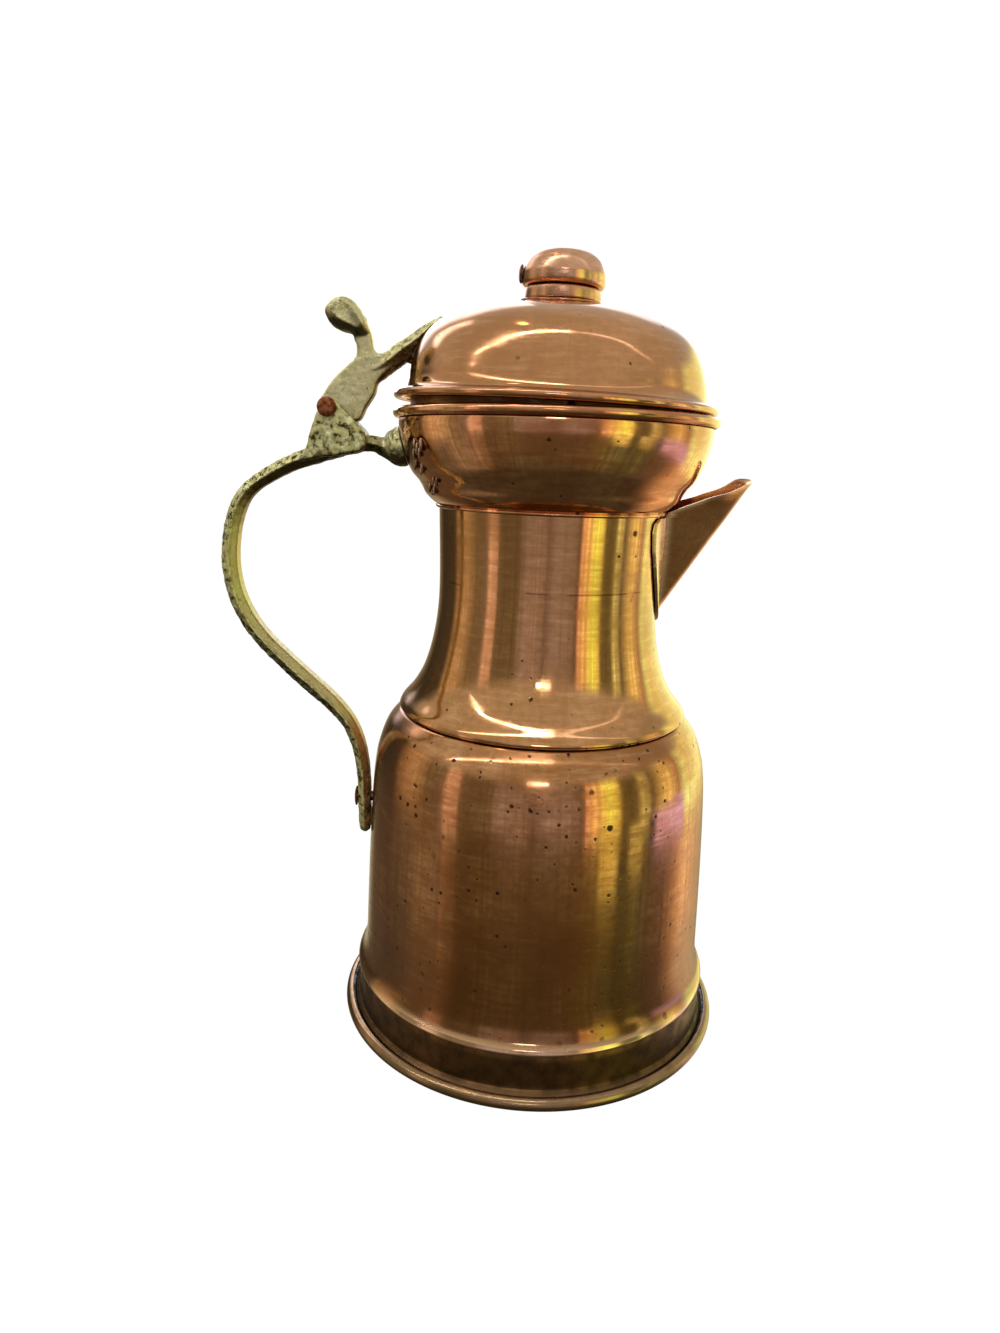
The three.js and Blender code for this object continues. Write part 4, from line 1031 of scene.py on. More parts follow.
# %% Bezel
bezel_middle = through([
    (BEZEL_R - SHEET / 2, LID_Z - BEZEL_DEPTH),
    (BEZEL_R - SHEET / 2, LID_Z),
    (BEZEL_R - SHEET / 2, BEZEL_TOP_Z),
], 6)
bezel = spin("lid_bezel_ring", sheet_section(bezel_middle), copper_inside, 176, 0.1, 19,
             matrix=lid_seat)
hand_over(bezel, "lid", "copper", "lid_bezel")

# %% Knob collar
KNOB_CREASE_Z = 227.3
KNOB_R = 12.15
KNOB_TOP_Z = 238.1
KNOB_TENON_R = 7.5
KNOB_TENON_TOP_Z = 233.4
KNOB_WASHER_R = 7
WASHER_T = 0.8

knob_floor = DOME_TOP_Z + SEAT_GAP
washer_top = DOME_TOP_Z - SHEET - 2 * SEAT_GAP
peen_z = washer_top - WASHER_T - SEAT_GAP
collar_section = through([
    (0, peen_z - 1.4),
    (KNOB_STEM_R + 0.5, peen_z - 1.3),
    (KNOB_STEM_R + 1.2, peen_z - 0.5),
    (KNOB_STEM_R + 0.6, peen_z),
], 4) + [
    (KNOB_STEM_R, peen_z),
    (KNOB_STEM_R, knob_floor),
    (KNOB_COLLAR_R - 0.35, knob_floor),
] + through([
    (KNOB_COLLAR_R - 0.35, knob_floor),
    (KNOB_COLLAR_R, knob_floor + 0.5),
    (KNOB_COLLAR_R - 0.05, KNOB_CREASE_Z - 0.8),
    (KNOB_COLLAR_R - 0.35, KNOB_CREASE_Z - 0.15),
    (KNOB_COLLAR_R - 0.8, KNOB_CREASE_Z),
], 5)[1:] + [
    (KNOB_TENON_R, KNOB_CREASE_Z),
    (KNOB_TENON_R, KNOB_TENON_TOP_Z),
    (0, KNOB_TENON_TOP_Z),
]
knob_collar = spin("knob_collar_turned", collar_section, copper_knob, 128, 0.05, 23,
                   matrix=lid_seat)
hand_over(knob_collar, "lid", "copper", "knob_collar")

# %% Knob cap and washer
socket_r = KNOB_TENON_R + SEAT_GAP
cap_low = KNOB_CREASE_Z + SEAT_GAP
cap_section = [
    (0, KNOB_TENON_TOP_Z + SEAT_GAP),
    (socket_r, KNOB_TENON_TOP_Z + SEAT_GAP),
    (socket_r, cap_low),
] + through([
    (KNOB_R - 1.5, cap_low),
    (KNOB_R - 0.6, cap_low + 0.35),
    (KNOB_R - 0.05, cap_low + 1.3),
    (KNOB_R, KNOB_CREASE_Z + 3),
    (KNOB_R - 0.2, KNOB_TOP_Z - 6.3),
    (KNOB_R - 1.4, KNOB_TOP_Z - 3.4),
    (KNOB_R - 3.3, KNOB_TOP_Z - 1.5),
    (KNOB_R - 6, KNOB_TOP_Z - 0.7),
    (0, KNOB_TOP_Z - 0.4),
], 8)
knob_cap = spin("knob_cap_turned", cap_section, copper_knob, 144, 0.08, 29, matrix=lid_seat)
hand_over(knob_cap, "lid", "copper", "knob_cap")
knob_washer_section = [
    (KNOB_STEM_R + SEAT_GAP, washer_top - WASHER_T),
    (KNOB_WASHER_R, washer_top - WASHER_T),
    (KNOB_WASHER_R, washer_top),
    (KNOB_STEM_R + SEAT_GAP, washer_top),
    (KNOB_STEM_R + SEAT_GAP, washer_top - WASHER_T),
]
knob_washer = spin("knob_washer_inside", knob_washer_section, copper_inside, 64, matrix=lid_seat)
hand_over(knob_washer, "lid", "copper", "knob_washer")

# %% [markdown]
# ## The spout
#
# The beak is one sheet folded along its keel, so every line along the keel is straight. Its mesh
# is ruled the same way: for each place across the fold, one straight line runs from the neck to
# the sloping upper edge, and a fine row of points fills it. The edge dips a little before the
# tip, which was hammered outwards into a small lip that stops drips.

# %% Beak and shield
KEEL_FOOT = (36.3, 135.7)
KEEL_TIP = (60.9, 173.7)
BEAK_HALF_ANGLE = math.radians(32.5)
BEAK_FOLD_R = 2.4
BEAK_EDGE_ROOT = (33, 165.3)
BEAK_EDGE_TIP = (61, 174.7)

keel = Vector((KEEL_TIP[0] - KEEL_FOOT[0], 0, KEEL_TIP[1] - KEEL_FOOT[1])).normalized()
beak_back = Vector((-keel.z, 0, keel.x))
edge_slope = (BEAK_EDGE_TIP[1] - BEAK_EDGE_ROOT[1]) / (BEAK_EDGE_TIP[0] - BEAK_EDGE_ROOT[0])


def shell_radius(line):
    """A function that gives a shell's outer radius at any height."""
    points = np.array(line)
    order = np.argsort(points[:, 1])
    return lambda z: np.interp(z, points[order, 1], points[order, 0])


neck_radius = shell_radius(neck_line + [(NECK_TOP_R, COLLAR_Z)])
bowl_radius = shell_radius(bowl_line + [(RIM_R, RIM_Z - 1), (RIM_R, 205)])


def jug_radius(z):
    """The outside of the neck below the collar and of the bowl above it."""
    return np.where(z < COLLAR_Z - SEAT_GAP, neck_radius(z), bowl_radius(z))


def outside_jug(place):
    return math.hypot(place.x, place.y) > jug_radius(place.z) + SEAT_GAP


def below_edge(place):
    """How far a place lies below the beak's sloping upper edge."""
    return BEAK_EDGE_TIP[1] + (place.x - BEAK_EDGE_TIP[0]) * edge_slope - place.z


print("keel rises by", round(math.degrees(math.atan2(keel.z, keel.x)), 1), "degrees")

# %% One straight line of the beak
def fold_place(distance, inset):
    """A place across the fold at a distance from the keel line, and its depth behind it."""
    radius = BEAK_FOLD_R
    reach = min(abs(distance), radius * (math.pi / 2 - BEAK_HALF_ANGLE))
    angle = reach / radius
    beyond = abs(distance) - reach
    u = math.sin(angle) * (radius - inset) + math.sin(BEAK_HALF_ANGLE) * beyond
    v = radius - math.cos(angle) * (radius - inset) + math.cos(BEAK_HALF_ANGLE) * beyond
    sideways = Vector((0, math.copysign(1, distance) * u, 0))
    return Vector((KEEL_FOOT[0], 0, KEEL_FOOT[1])) + sideways + beak_back * v, v


def halved(low, high, is_low):
    """A span after 40 halvings towards the place where is_low stops being true."""
    for _ in range(40):
        middle = (low + high) / 2
        if is_low(middle):
            low = middle
        else:
            high = middle
    return low, high


def beak_line(distance, inset):
    """Both ends of the straight line at one place across the fold, or None past the side."""
    start = fold_place(distance, inset)[0]
    top = below_edge(start) / (keel.z - keel.x * edge_slope)
    if not outside_jug(start + keel * top):
        return None
    root = halved(top - 60, top, lambda level: not outside_jug(start + keel * level))[1]
    return start + keel * root, start + keel * top


def widest_side(inset):
    return halved(4.0, 60.0, lambda side: beak_line(side, inset) is not None)[0]


side_reach = min(widest_side(0), widest_side(SHEET)) - 0.02
print("each side of the beak is", round(side_reach, 1), "mm wide")

# %% The lip at the tip
LIP_REACH = 4.5
LIP_CURL = 2.8
LIP_LENGTH = 15
LIP_RISE = 1.0
LIP_RISE_AT = 3
LIP_RISE_LENGTH = 2.4
LIP_DIP = 0.5
LIP_DIP_AT = 8.0
LIP_DIP_LENGTH = 3.6
LIP_DIP_REACH = 14


def curl_lip(point):
    """Bends the sheet outwards close to the tip, where its far side also stands a little higher."""
    low = below_edge(point)
    to_tip = BEAK_EDGE_TIP[0] - point.x
    near_tip = max(0.0, 1 - to_tip / LIP_LENGTH)
    top_share = max(0.0, 1 - low / LIP_REACH)
    side = math.copysign(min(abs(point.y) / 2.5, 1), point.y)
    far_side = min(max(point.y / 1.2, 0.15), 1)
    curl = LIP_CURL * top_share ** 2 * near_tip ** 0.8
    dip = LIP_DIP * math.exp(-((to_tip - LIP_DIP_AT) / LIP_DIP_LENGTH) ** 2)
    dip *= max(0.0, 1 - low / LIP_DIP_REACH)
    rise = math.exp(-((to_tip - LIP_RISE_AT) / LIP_RISE_LENGTH) ** 2) + min(near_tip * 2, 1)
    rise *= LIP_RISE * top_share * far_side
    return point + Vector((0.05 * curl, side * 0.9 * curl, rise - dip))


print("the lip curls out by up to", LIP_CURL, "mm")

# %% Walls of the beak and of the shield
FLANGE_SHEET = 0.8
FLANGE_TOP_Z = 163.8
FLANGE_HALF_WIDTH = 20.6
FLANGE_POINT_Z = 131
# Shares of the shield's height from its point up, with its half width there
SHIELD = [
    (0, 0.2), (0.03, 3.6), (0.12, 8.6), (0.25, 12.2), (0.47, 16.2), (0.7, 19.4),
    (0.88, FLANGE_HALF_WIDTH), (0.955, FLANGE_HALF_WIDTH - 0.4), (1, FLANGE_HALF_WIDTH - 2.6),
]


def beak_wall(inset):
    """Rows of points from the neck to the edge, one row for each place across the fold."""
    across = [side_reach * math.sin(math.pi / 2 * s) for s in np.linspace(-1, 1, 73)]
    ends = [beak_line(distance, inset) for distance in across]
    return [[curl_lip(low.lerp(top, t)) for t in np.linspace(0, 1, 46)] for low, top in ends]


def shield_wall(lift, shrink):
    """Rows of points from the shield's point to its top, bent round the neck."""
    wall_points = []
    for t in np.linspace(-1, 1, 65):
        line = []
        for share in np.linspace(0, 1, 60):
            z = FLANGE_POINT_Z + (FLANGE_TOP_Z - FLANGE_POINT_Z) * share
            y = t * (float(np.interp(share, *zip(*SHIELD))) - shrink)
            radius = float(neck_radius(z)) + lift
            line.append(Vector((math.sqrt(radius * radius - y * y), y, z)))
        wall_points.append(line)
    return wall_points


def add_wall(shape, outer, inner):
    """Two grids of the same size joined into one closed wall."""
    across, along = len(outer), len(outer[0])
    corners = [[[shape.verts.new(p * MM) for p in line] for line in rows]
               for rows in (outer, inner)]
    for i in range(across - 1):
        for j in range(along - 1):
            for side in corners:
                shape.faces.new((side[i][j], side[i + 1][j], side[i + 1][j + 1], side[i][j + 1]))
    for i in range(across - 1):
        for j in (0, along - 1):
            shape.faces.new((corners[0][i][j], corners[0][i + 1][j],
                             corners[1][i + 1][j], corners[1][i][j]))
    for j in range(along - 1):
        for i in (0, across - 1):
            shape.faces.new((corners[0][i][j], corners[0][i][j + 1],
                             corners[1][i][j + 1], corners[1][i][j]))


print("shield:", 2 * FLANGE_HALF_WIDTH, "mm wide")

# %% [markdown]
# Water passes from the neck into the beak through a hole as wide as the channel. The same wedge
# that fills the channel is cut out of the neck with a Boolean, behind the flange where the cut
# stays hidden until somebody looks down the beak.

# %% The hole behind the beak
def add_slab(shape, *outlines):
    """A closed solid between two outlines of as many points each."""
    near, far = ([shape.verts.new(Vector(p) * MM) for p in outline] for outline in outlines)
    shape.faces.new(near)
    shape.faces.new(far[::-1])
    for i in range(len(near)):
        j = (i + 1) % len(near)
        shape.faces.new((near[i], far[i], far[j], near[j]))


def cut_channel(piece):
    """Takes the wedge of the channel out of a piece with a Boolean."""
    shape = bmesh.new()
    folds = [fold_place(distance, SHEET + 0.7)
             for distance in (-20.0, *np.linspace(-2.4, 2.4, 9), 20.0)]
    add_slab(shape, *([place + keel * (level - depth * 0.25) for place, depth in folds]
                      for level in (-4.0, 24.0)))
    tool = from_shape("channel", shape)
    modifier = piece.modifiers.new("channel", "BOOLEAN")
    modifier.operation = "DIFFERENCE"
    modifier.solver = "EXACT"
    modifier.object = tool
    applied(piece)
    bpy.data.objects.remove(tool)
    return piece


shield_shape = bmesh.new()
add_wall(shield_shape, shield_wall(SEAT_GAP + FLANGE_SHEET, 0.25), shield_wall(SEAT_GAP, 0.0))
shield = cut_channel(from_shape("shield", shield_shape))
hand_over(settle(cut_channel(neck)), "jug", "copper", "neck")
hand_over(lower_body, "jug", "copper", "lower_body")
hand_over(mouth_bowl, "jug", "copper", "mouth_bowl")

# %% Join the beak to its shield
spout_shape = bmesh.new()
spout_shape.from_mesh(shield.data)
bpy.data.objects.remove(shield)
add_wall(spout_shape, beak_wall(0), beak_wall(SHEET))
spout = from_shape("spout_beak_and_flange", spout_shape)
spout.data.materials.append(copper_spout)
spout.data.attributes.new("along", "FLOAT", "POINT")
settle(spout, 50)

# Cloths reach the upper edge, the keel and the seam along the neck, which also get a painted highlight
rubbed_and_highlit_places = []
for vertex in spout.data.vertices:
    place = vertex.co / MM
    off_neck = math.hypot(place.x, place.y) - float(jug_radius(place.z)) - 1.5
    rubbed_and_highlit_places.append(max(
        math.exp(-(below_edge(place) / 0.9) ** 2),
        math.exp(-(place.y / 1.3) ** 2),
        math.exp(-(off_neck / 1.1) ** 2)))
spout.data.attributes.new("rubbed", "FLOAT", "POINT").data.foreach_set("value", rubbed_and_highlit_places)
hand_over(spout, "jug", "copper", "spout")

# %% [markdown]
# ## Casting the handle and the lever
#
# Both brass pieces came out of a sand mould, so they have no seams: a plate flows into a bar and a
# bar into a ball. Each is built the same way here. Its simple parts, such as plates, bars and a
# ball, are laid into each other, a voxel Remesh melts them into one skin, and a Smooth modifier
# takes the corners off as a file would. Then every point is shaken by a noise, which is the
# pebbled sand skin, and points that came too close to a shell are pushed back out of it.

# %% Lofts and plates
def ring_through(points, steps=5):
    """A smooth closed line through all the points."""
    line = through([points[-1], *points, points[0], points[1]], steps)
    return np.array(line[steps:steps + len(points) * steps])


def moved_in(ring, distance):
    """A closed outline moved inwards."""
    ahead = np.roll(ring, -1, axis=0)
    area = np.sum(ring[:, 0] * ahead[:, 1] - ahead[:, 0] * ring[:, 1])
    tangent = ahead - np.roll(ring, 1, axis=0)
    tangent /= np.linalg.norm(tangent, axis=1, keepdims=True)
    inward = np.column_stack((-tangent[:, 1], tangent[:, 0])) * math.copysign(1, area)
    return ring + inward * distance


def add_plate(shape, outline, half, middle_y=0.0):
    """A plate between two values of y, from an outline of [x, z] points."""
    add_slab(shape, *([(x, y, z) for x, z in outline] for y in (middle_y - half, middle_y + half)))


def rounded_plate(shape, ring, half_width, rounding, middle_y=0.0):
    """A plate with its edges rounded over."""
    for angle in np.linspace(0, math.pi / 2, 5):
        half = half_width - rounding * (1 - math.sin(angle))
        add_plate(shape, moved_in(ring, rounding * (1 - math.cos(angle))), half, middle_y)


def add_loft(shape, rings):
    """A closed tube through rings of as many points each, with flat ends."""
    made = [[shape.verts.new(Vector(p) * MM) for p in ring] for ring in rings]
    count = len(made[0])
    for near, far in zip(made, made[1:]):
        for i in range(count):
            j = (i + 1) % count
            shape.faces.new((near[i], near[j], far[j], far[i]))
    shape.faces.new(made[0][::-1])
    shape.faces.new(made[-1])


def add_ball(shape, centre, radius):
    place = Matrix.Translation(Vector(centre) * MM)
    bmesh.ops.create_icosphere(shape, subdivisions=4, radius=radius * MM, matrix=place)


print("pieces made before the castings:", len(made_pieces))

# %% The pour
VOXEL = 0.34
FILE_STROKES = 5


def pour(name, shape, metal):
    """Melts the simple parts into one skin and files its corners off."""
    piece = from_shape(name, shape)
    melt = piece.modifiers.new("melt", "REMESH")
    melt.mode = "VOXEL"
    melt.voxel_size = VOXEL * MM
    file_off = piece.modifiers.new("file_off", "SMOOTH")
    file_off.iterations = FILE_STROKES
    file_off.factor = 0.5
    applied(piece)
    piece.data.materials.append(metal)
    return piece


print("casting voxels:", VOXEL, "mm")

# %% The skin of a casting
COARSE_PEBBLES_MM = 1.9
FINE_PEBBLES_MM = 0.9


def places_of(piece):
    """The places of all points in millimetres."""
    flat = np.empty(len(piece.data.vertices) * 3, np.float32)
    piece.data.vertices.foreach_get("co", flat)
    return flat.reshape(-1, 3).astype(float) / MM


def normals_of(piece):
    flat = np.empty(len(piece.data.vertices) * 3, np.float32)
    piece.data.vertex_normals.foreach_get("vector", flat)
    return flat.reshape(-1, 3).astype(float)


def shaken(places, feature_mm, seed):
    """One noise value for each point, about -1 to 1."""
    return np.array([noise.noise(p) for p in places / feature_mm + seed])


def sand_skin(piece, worn, raw_mm, worn_mm):
    """The places after the sand's pebbles are pressed into the skin."""
    places = places_of(piece)
    depth = raw_mm + (worn_mm - raw_mm) * worn
    coarse = shaken(places, COARSE_PEBBLES_MM, 3.0)
    fine = shaken(places, FINE_PEBBLES_MM, 7.0)
    return places + normals_of(piece) * ((0.6 * coarse + 0.4 * fine - 0.45) * depth)[:, None]


def clear_of(places, radius_at, seat=Matrix.Identity(4)):
    """Moves points that lie too close to a round shell straight out from its axis."""
    forth = np.array(seat)
    back = np.array(seat.inverted())
    local = places @ back[:3, :3].T + back[:3, 3] / MM
    reach = np.hypot(local[:, 0], local[:, 1])
    need = radius_at(local[:, 2]) + SEAT_GAP
    local[:, :2] *= np.maximum(1, need / np.maximum(reach, 1e-6))[:, None]
    return local @ forth[:3, :3].T + forth[:3, 3] / MM


def finish_casting(piece, places, worn):
    piece.data.vertices.foreach_set("co", (places * MM).astype(np.float32).ravel())
    piece.data.update()
    # under is 1 on faces that look down, which the brass material paints dark as painted shade
    under = np.clip((-normals_of(piece)[:, 2] - 0.1) / 0.4, 0, 1)
    for key, values in (("worn", worn), ("under", under)):
        attribute = piece.data.attributes.new(key, "FLOAT", "POINT")
        attribute.data.foreach_set("value", values.astype(np.float32))
    for polygon in piece.data.polygons:
        polygon.use_smooth = True
    piece.data.update()


print("pebbles of the sand:", COARSE_PEBBLES_MM, "and", FINE_PEBBLES_MM, "mm")

# %% [markdown]
# The handle is a strap whose sides are two slopes that meet in a ridge, so it feels thin to the
# fingers. Its inner slope is rubbed to gold by them, a gold that also stands for painted light
# falling on that side; the outer one keeps its raw skin. At the top it swells into a lug with two
# ears for the pin, and ends in a ball against the bowl.

# %% Line of the strap
HINGE = (67, 191.7)
LUG_WIDTH = 14
LEVER_WIDTH = 6.4
LEVER_GAP = 0.35
SLOT_FLOOR = 4.1
STRAP_WIDTH = 8.4
TAIL_WIDTH = 10
TAIL_THICKNESS = 4.1
TAIL_RIVET_Z = 70
BALL_R = 6.1
BALL_Z = 181.5

body_radius = shell_radius(body_line)
stud_wall = float(bowl_radius(BALL_Z))
tail_wall = float(body_radius(TAIL_RIVET_Z))


def from_pin(inward, up):
    """A place in the plane of the handle as [x, z], from distances to the hinge pin."""
    return np.array((inward - HINGE[0], HINGE[1] + up))


strap_stations = [
    (stud_wall + 3.2, BALL_Z - 0.7, 7.6, 7.6),
    (stud_wall + 5.8, BALL_Z - 0.3, 5.8, 8.4),
    (stud_wall + 8.4, BALL_Z + 0.4, 4.9, 9.8),
    (stud_wall + 12.8, BALL_Z + 0.5, 5.2, 12.6),
    (64.5, 180.2, 5.2, 13.2),
    (71.5, 178.0, 5.2, 12.4),
    (78.5, 175.4, 4.9, 9.8),
    (84.8, 172.0, 4.6, 8.6),
    (89.9, 168.5, 4.4, STRAP_WIDTH),
    (93.6, 164.0, 4.6, STRAP_WIDTH),
    (96.1, 157.0, 4.8, STRAP_WIDTH),
    (97.25, 149.0, 5.0, STRAP_WIDTH),
    (97.0, 142.0, 4.9, STRAP_WIDTH),
    (95.5, 135.0, 5.0, STRAP_WIDTH),
    (92.0, 127.5, 5.0, STRAP_WIDTH),
    (87.3, 121.2, 5.0, STRAP_WIDTH),
    (81.1, 114.9, 5.2, STRAP_WIDTH),
    (74.3, 108.5, 5.3, STRAP_WIDTH),
    (67.3, 102.2, 5.0, STRAP_WIDTH),
    (61.8, 95.7, 4.5, STRAP_WIDTH),
    (58.8, 89.0, 4.3, 8.8),
    (57.3, 82.3, 4.2, 9.4),
    (tail_wall + 2.8, 75.0, TAIL_THICKNESS, TAIL_WIDTH),
    (tail_wall + 2.6, 66.0, TAIL_THICKNESS, TAIL_WIDTH),
    (tail_wall + 2.4, 60.2, 3.8, TAIL_WIDTH - 1),
    (tail_wall + 2.2, 58.4, 2.8, TAIL_WIDTH - 4),
]
strap_line = np.array(through(strap_stations, 6))
strap_way = np.gradient(strap_line[:, :2], axis=0)
strap_way /= np.linalg.norm(strap_way, axis=1, keepdims=True)
strap_share = np.linspace(0, 1, len(strap_line))


print("strap line:", len(strap_line), "points")

# %% Sections of the strap
def sloped_ring(outer, inner, width, ridge=0.5, flat=0.55):
    """A bar's section between two places [x, z]: two flats, and sides that slope to a ridge."""
    w = width / 2
    corners = [(w * flat, 0), (w, ridge), (w * flat, 1), (-w * flat, 1), (-w, ridge), (-w * flat, 0)]
    ring = []
    for start, end in zip(corners, corners[1:] + corners[:1]):
        for s in (0, 1 / 3, 2 / 3):
            across, share = (a + (b - a) * s for a, b in zip(start, end))
            x, z = outer + (inner - outer) * share
            ring.append((x, across, z))
    return ring


def strap_ring(place, way):
    """The strap's section square to its line, which is given as [radius, z]."""
    out = np.array((way[1], way[0])) * place[2] / 2
    middle = np.array((-place[0], place[1]))
    return sloped_ring(middle + out, middle - out, place[3])


strap_rings = [strap_ring(place, way) for place, way in zip(strap_line, strap_way)]
print("strap:", len(strap_rings), "sections")

# %% Pour the handle
handle_shape = bmesh.new()
add_loft(handle_shape, strap_rings)
lug_outline = ring_through([from_pin(*p) for p in (
    (9.5, -12.2), (11.2, -7.4), (9.0, -4.6), (6.0, -1.4), (3.6, 0.9), (1.0, 2.7), (-1.7, 2.2),
    (-3.1, -1.2), (-4.9, -6.2), (-6.6, -12.0), (-9.2, -15.8), (-2.0, -14.4))])
slot_half = LEVER_WIDTH / 2 + LEVER_GAP
ear_half = (LUG_WIDTH / 2 - slot_half) / 2
for side in (-1, 1):
    rounded_plate(handle_shape, lug_outline, ear_half, 0.9, side * (slot_half + ear_half))
floor_z = HINGE[1] - SLOT_FLOOR
lug_root = np.array([(x, min(z, floor_z)) for x, z in lug_outline])
add_plate(handle_shape, lug_root, slot_half + 0.5)
add_ball(handle_shape, (-stud_wall - 0.2, 0, BALL_Z), BALL_R - 0.1)
handle = pour("handle_sand_cast", handle_shape, brass_handle)
print("handle poured:", len(handle.data.vertices), "points")

# %% Skin of the handle
handle_places = places_of(handle)
flat_places = np.column_stack((-handle_places[:, 0], handle_places[:, 2]))
nearest = np.argmin(
    (flat_places[:, None, 0] - strap_line[None, ::3, 0]) ** 2
    + (flat_places[:, None, 1] - strap_line[None, ::3, 1]) ** 2, axis=1) * 3
away = flat_places - strap_line[nearest, :2]
out_share = (away[:, 1] * strap_way[nearest, 0] - away[:, 0] * strap_way[nearest, 1]) / (
    strap_line[nearest, 2] / 2)
# The grip's inner side is painted gold: partly rubbing, partly painted light falling on that side
grip = np.interp(strap_share[nearest], (0.18, 0.3, 0.8, 0.9), (0, 1, 1, 0.15))
handle_worn_and_lit = np.clip((0.12 - out_share) / 0.45, 0, 1) * grip
handle_places = sand_skin(handle, handle_worn_and_lit, 0.26, 0.05)
handle_places = clear_of(handle_places, bowl_radius)
body_clear = shell_radius(body_line + [(0.0, SHOULDER_Z + 8)])
handle_places = clear_of(handle_places, body_clear)
finish_casting(handle, handle_places, handle_worn_and_lit)
hand_over(handle, "jug", "cast_brass", "handle")

# %% [markdown]
# The lever is a thick plate between the ears. From the pin it leans back to a narrow stem with the
# thumb piece, a bean with a flat oval face, and it sends an arm to the lid. The arm is a bar with
# a ridge on each side; its underside follows the dome, to which two hidden rivets hold it.

# %% Lever
ARM_WIDTH = 9.4
THUMB_WIDTH = 11

lever_shape = bmesh.new()
upright = ring_through([from_pin(*p) for p in (
    (8.6, -3.4), (10.9, 0.6), (13.3, 4.4), (14.4, 8.0), (17.5, 11.2), (21.0, 13.8),
    (22.4, 16.4), (20.2, 19.2), (16.9, 16.7), (14.5, 15.7), (13.0, 17.0), (12.5, 20.2),
    (11.5, 23.2), (10.2, 25.9), (6.6, 23.4), (7.8, 18.6), (7.7, 14.6), (4.4, 11.3), (1.3, 8.2),
    (-1.2, 4.6), (-3.2, 1.2), (-2.8, -1.6), (-0.6, -3.1), (3.6, -3.3))])
rounded_plate(lever_shape, upright, LEVER_WIDTH / 2, 0.8)
print("lever plate:", len(upright), "points round")

# %% The thumb piece
# Its outline shrinks towards a flat oval face that lies to the upper right
lobe = ring_through([from_pin(*p) for p in (
    (-1.1, 26.4), (-0.3, 28.5), (1.4, 30.1), (4.2, 30.8), (6.5, 30.2), (8.6, 28.5), (10.5, 25.5),
    (11.6, 22.8), (12.2, 19.6), (7.9, 18.4), (6.6, 20.8), (3.6, 21.6), (0.6, 23.2))])
face = ring_through([from_pin(*p) for p in (
    (1.0, 27.3), (1.7, 28.6), (2.8, 29.4), (4.2, 29.8), (5.6, 29.2), (6.9, 28.0), (8.4, 26.0),
    (9.2, 24.5), (9.5, 23.2), (8.5, 22.3), (6.6, 23.0), (4.0, 24.1), (1.9, 25.6))])
half = THUMB_WIDTH / 2
thumb_steps = [(1, 1.0), (0.94, 0.72), (0.84, 0.4), (0.66, 0.14), (0.4, 0.0)]
thumb_rings = []
for depth, to_face in thumb_steps + [(-d, f) for d, f in thumb_steps[::-1]]:
    outline = lobe + (face - lobe) * to_face
    thumb_rings.append([
        (x, -half * depth * float(np.interp(z - HINGE[1], (18, 24), (0.56, 1))), z)
        for x, z in outline])
add_loft(lever_shape, thumb_rings)
print("thumb piece:", len(thumb_rings), "sections")

# %% The arm on the dome
dome_points = np.array(dome_line)
dome_steps = np.linalg.norm(np.diff(dome_points, axis=0), axis=1)
dome_length = np.concatenate(([0], np.cumsum(dome_steps)))
dome_share = dome_length / dome_length[-1]
dome_way = np.gradient(dome_points, axis=0)
dome_way /= np.linalg.norm(dome_way, axis=1, keepdims=True)


def on_dome(share, lift):
    """A place over the dome's outer face as [r, z], and the way along the face there."""
    place = np.array([np.interp(share, dome_share, dome_points[:, i]) for i in (0, 1)])
    way = np.array([np.interp(share, dome_share, dome_way[:, i]) for i in (0, 1)])
    way /= np.linalg.norm(way)
    return place + np.array((way[1], -way[0])) * lift, way


arm_stations = [
    ((11.0, 13.2), (13.4, 6.9), 6.4),
    ((13.6, 14.2), (16.2, 9.0), 7.4),
    ((15.8, 15.7), (18.8, 11.0), 8.4),
    ((20.2, 19.1), (23.0, 14.3), 9.2),
    ((24.6, 22.3), (27.2, 17.6), ARM_WIDTH),
    ((28.3, 24.9), (30.4, 21.2), 9.0),
    ((31.0, 26.4), (32.6, 23.6), 7.8),
    ((32.6, 26.9), (33.6, 25.2), 5.4),
]
arm_rings = [sloped_ring(from_pin(*top), from_pin(*low), width, 0.4, 0.5)
             for top, low, width in arm_stations]
add_loft(lever_shape, arm_rings)
lever = pour("lid_lever_sand_cast", lever_shape, brass_lever)
print("arm:", len(arm_rings), "sections")

# %% Skin of the lever
lever_places = places_of(lever)
inward = lever_places[:, 0] + HINGE[0]
on_arm = np.clip((inward - 14) / 4, 0, 1)
lever_worn = np.clip(0.85 - on_arm * 0.6 + 0.25 * shaken(lever_places, 6, 5.0), 0, 1)
lever_places = sand_skin(lever, lever_worn, 0.24, 0.07)
dome_radius = shell_radius(dome_line + [(0.0, DOME_TOP_Z + 0.01)])
lever_places = clear_of(lever_places, dome_radius, lid_seat)
finish_casting(lever, lever_places, lever_worn)
hand_over(lever, "lid", "cast_brass", "lid_lever")

# %% [markdown]
# ## Pins, rivets and washers
#
# A rivet is a rod whose end was hammered into a head over the work. All of them are turned from
# one outline with the spinning tree: a shank, a head at one end and, where the hammer reached it,
# a flatter peened end at the other. A matrix then aims each one along its bore.

# %% Outlines of rivets and washers
def aim(place, direction, shift=0.0):
    """The frame of a turned piece whose axis starts at a place and points along a direction."""
    turn_to = Vector(direction).to_track_quat("Z", "Y").to_matrix().to_4x4()
    return Matrix.Translation(Vector(place) * MM) @ turn_to @ Matrix.Translation((0, 0, shift * MM))


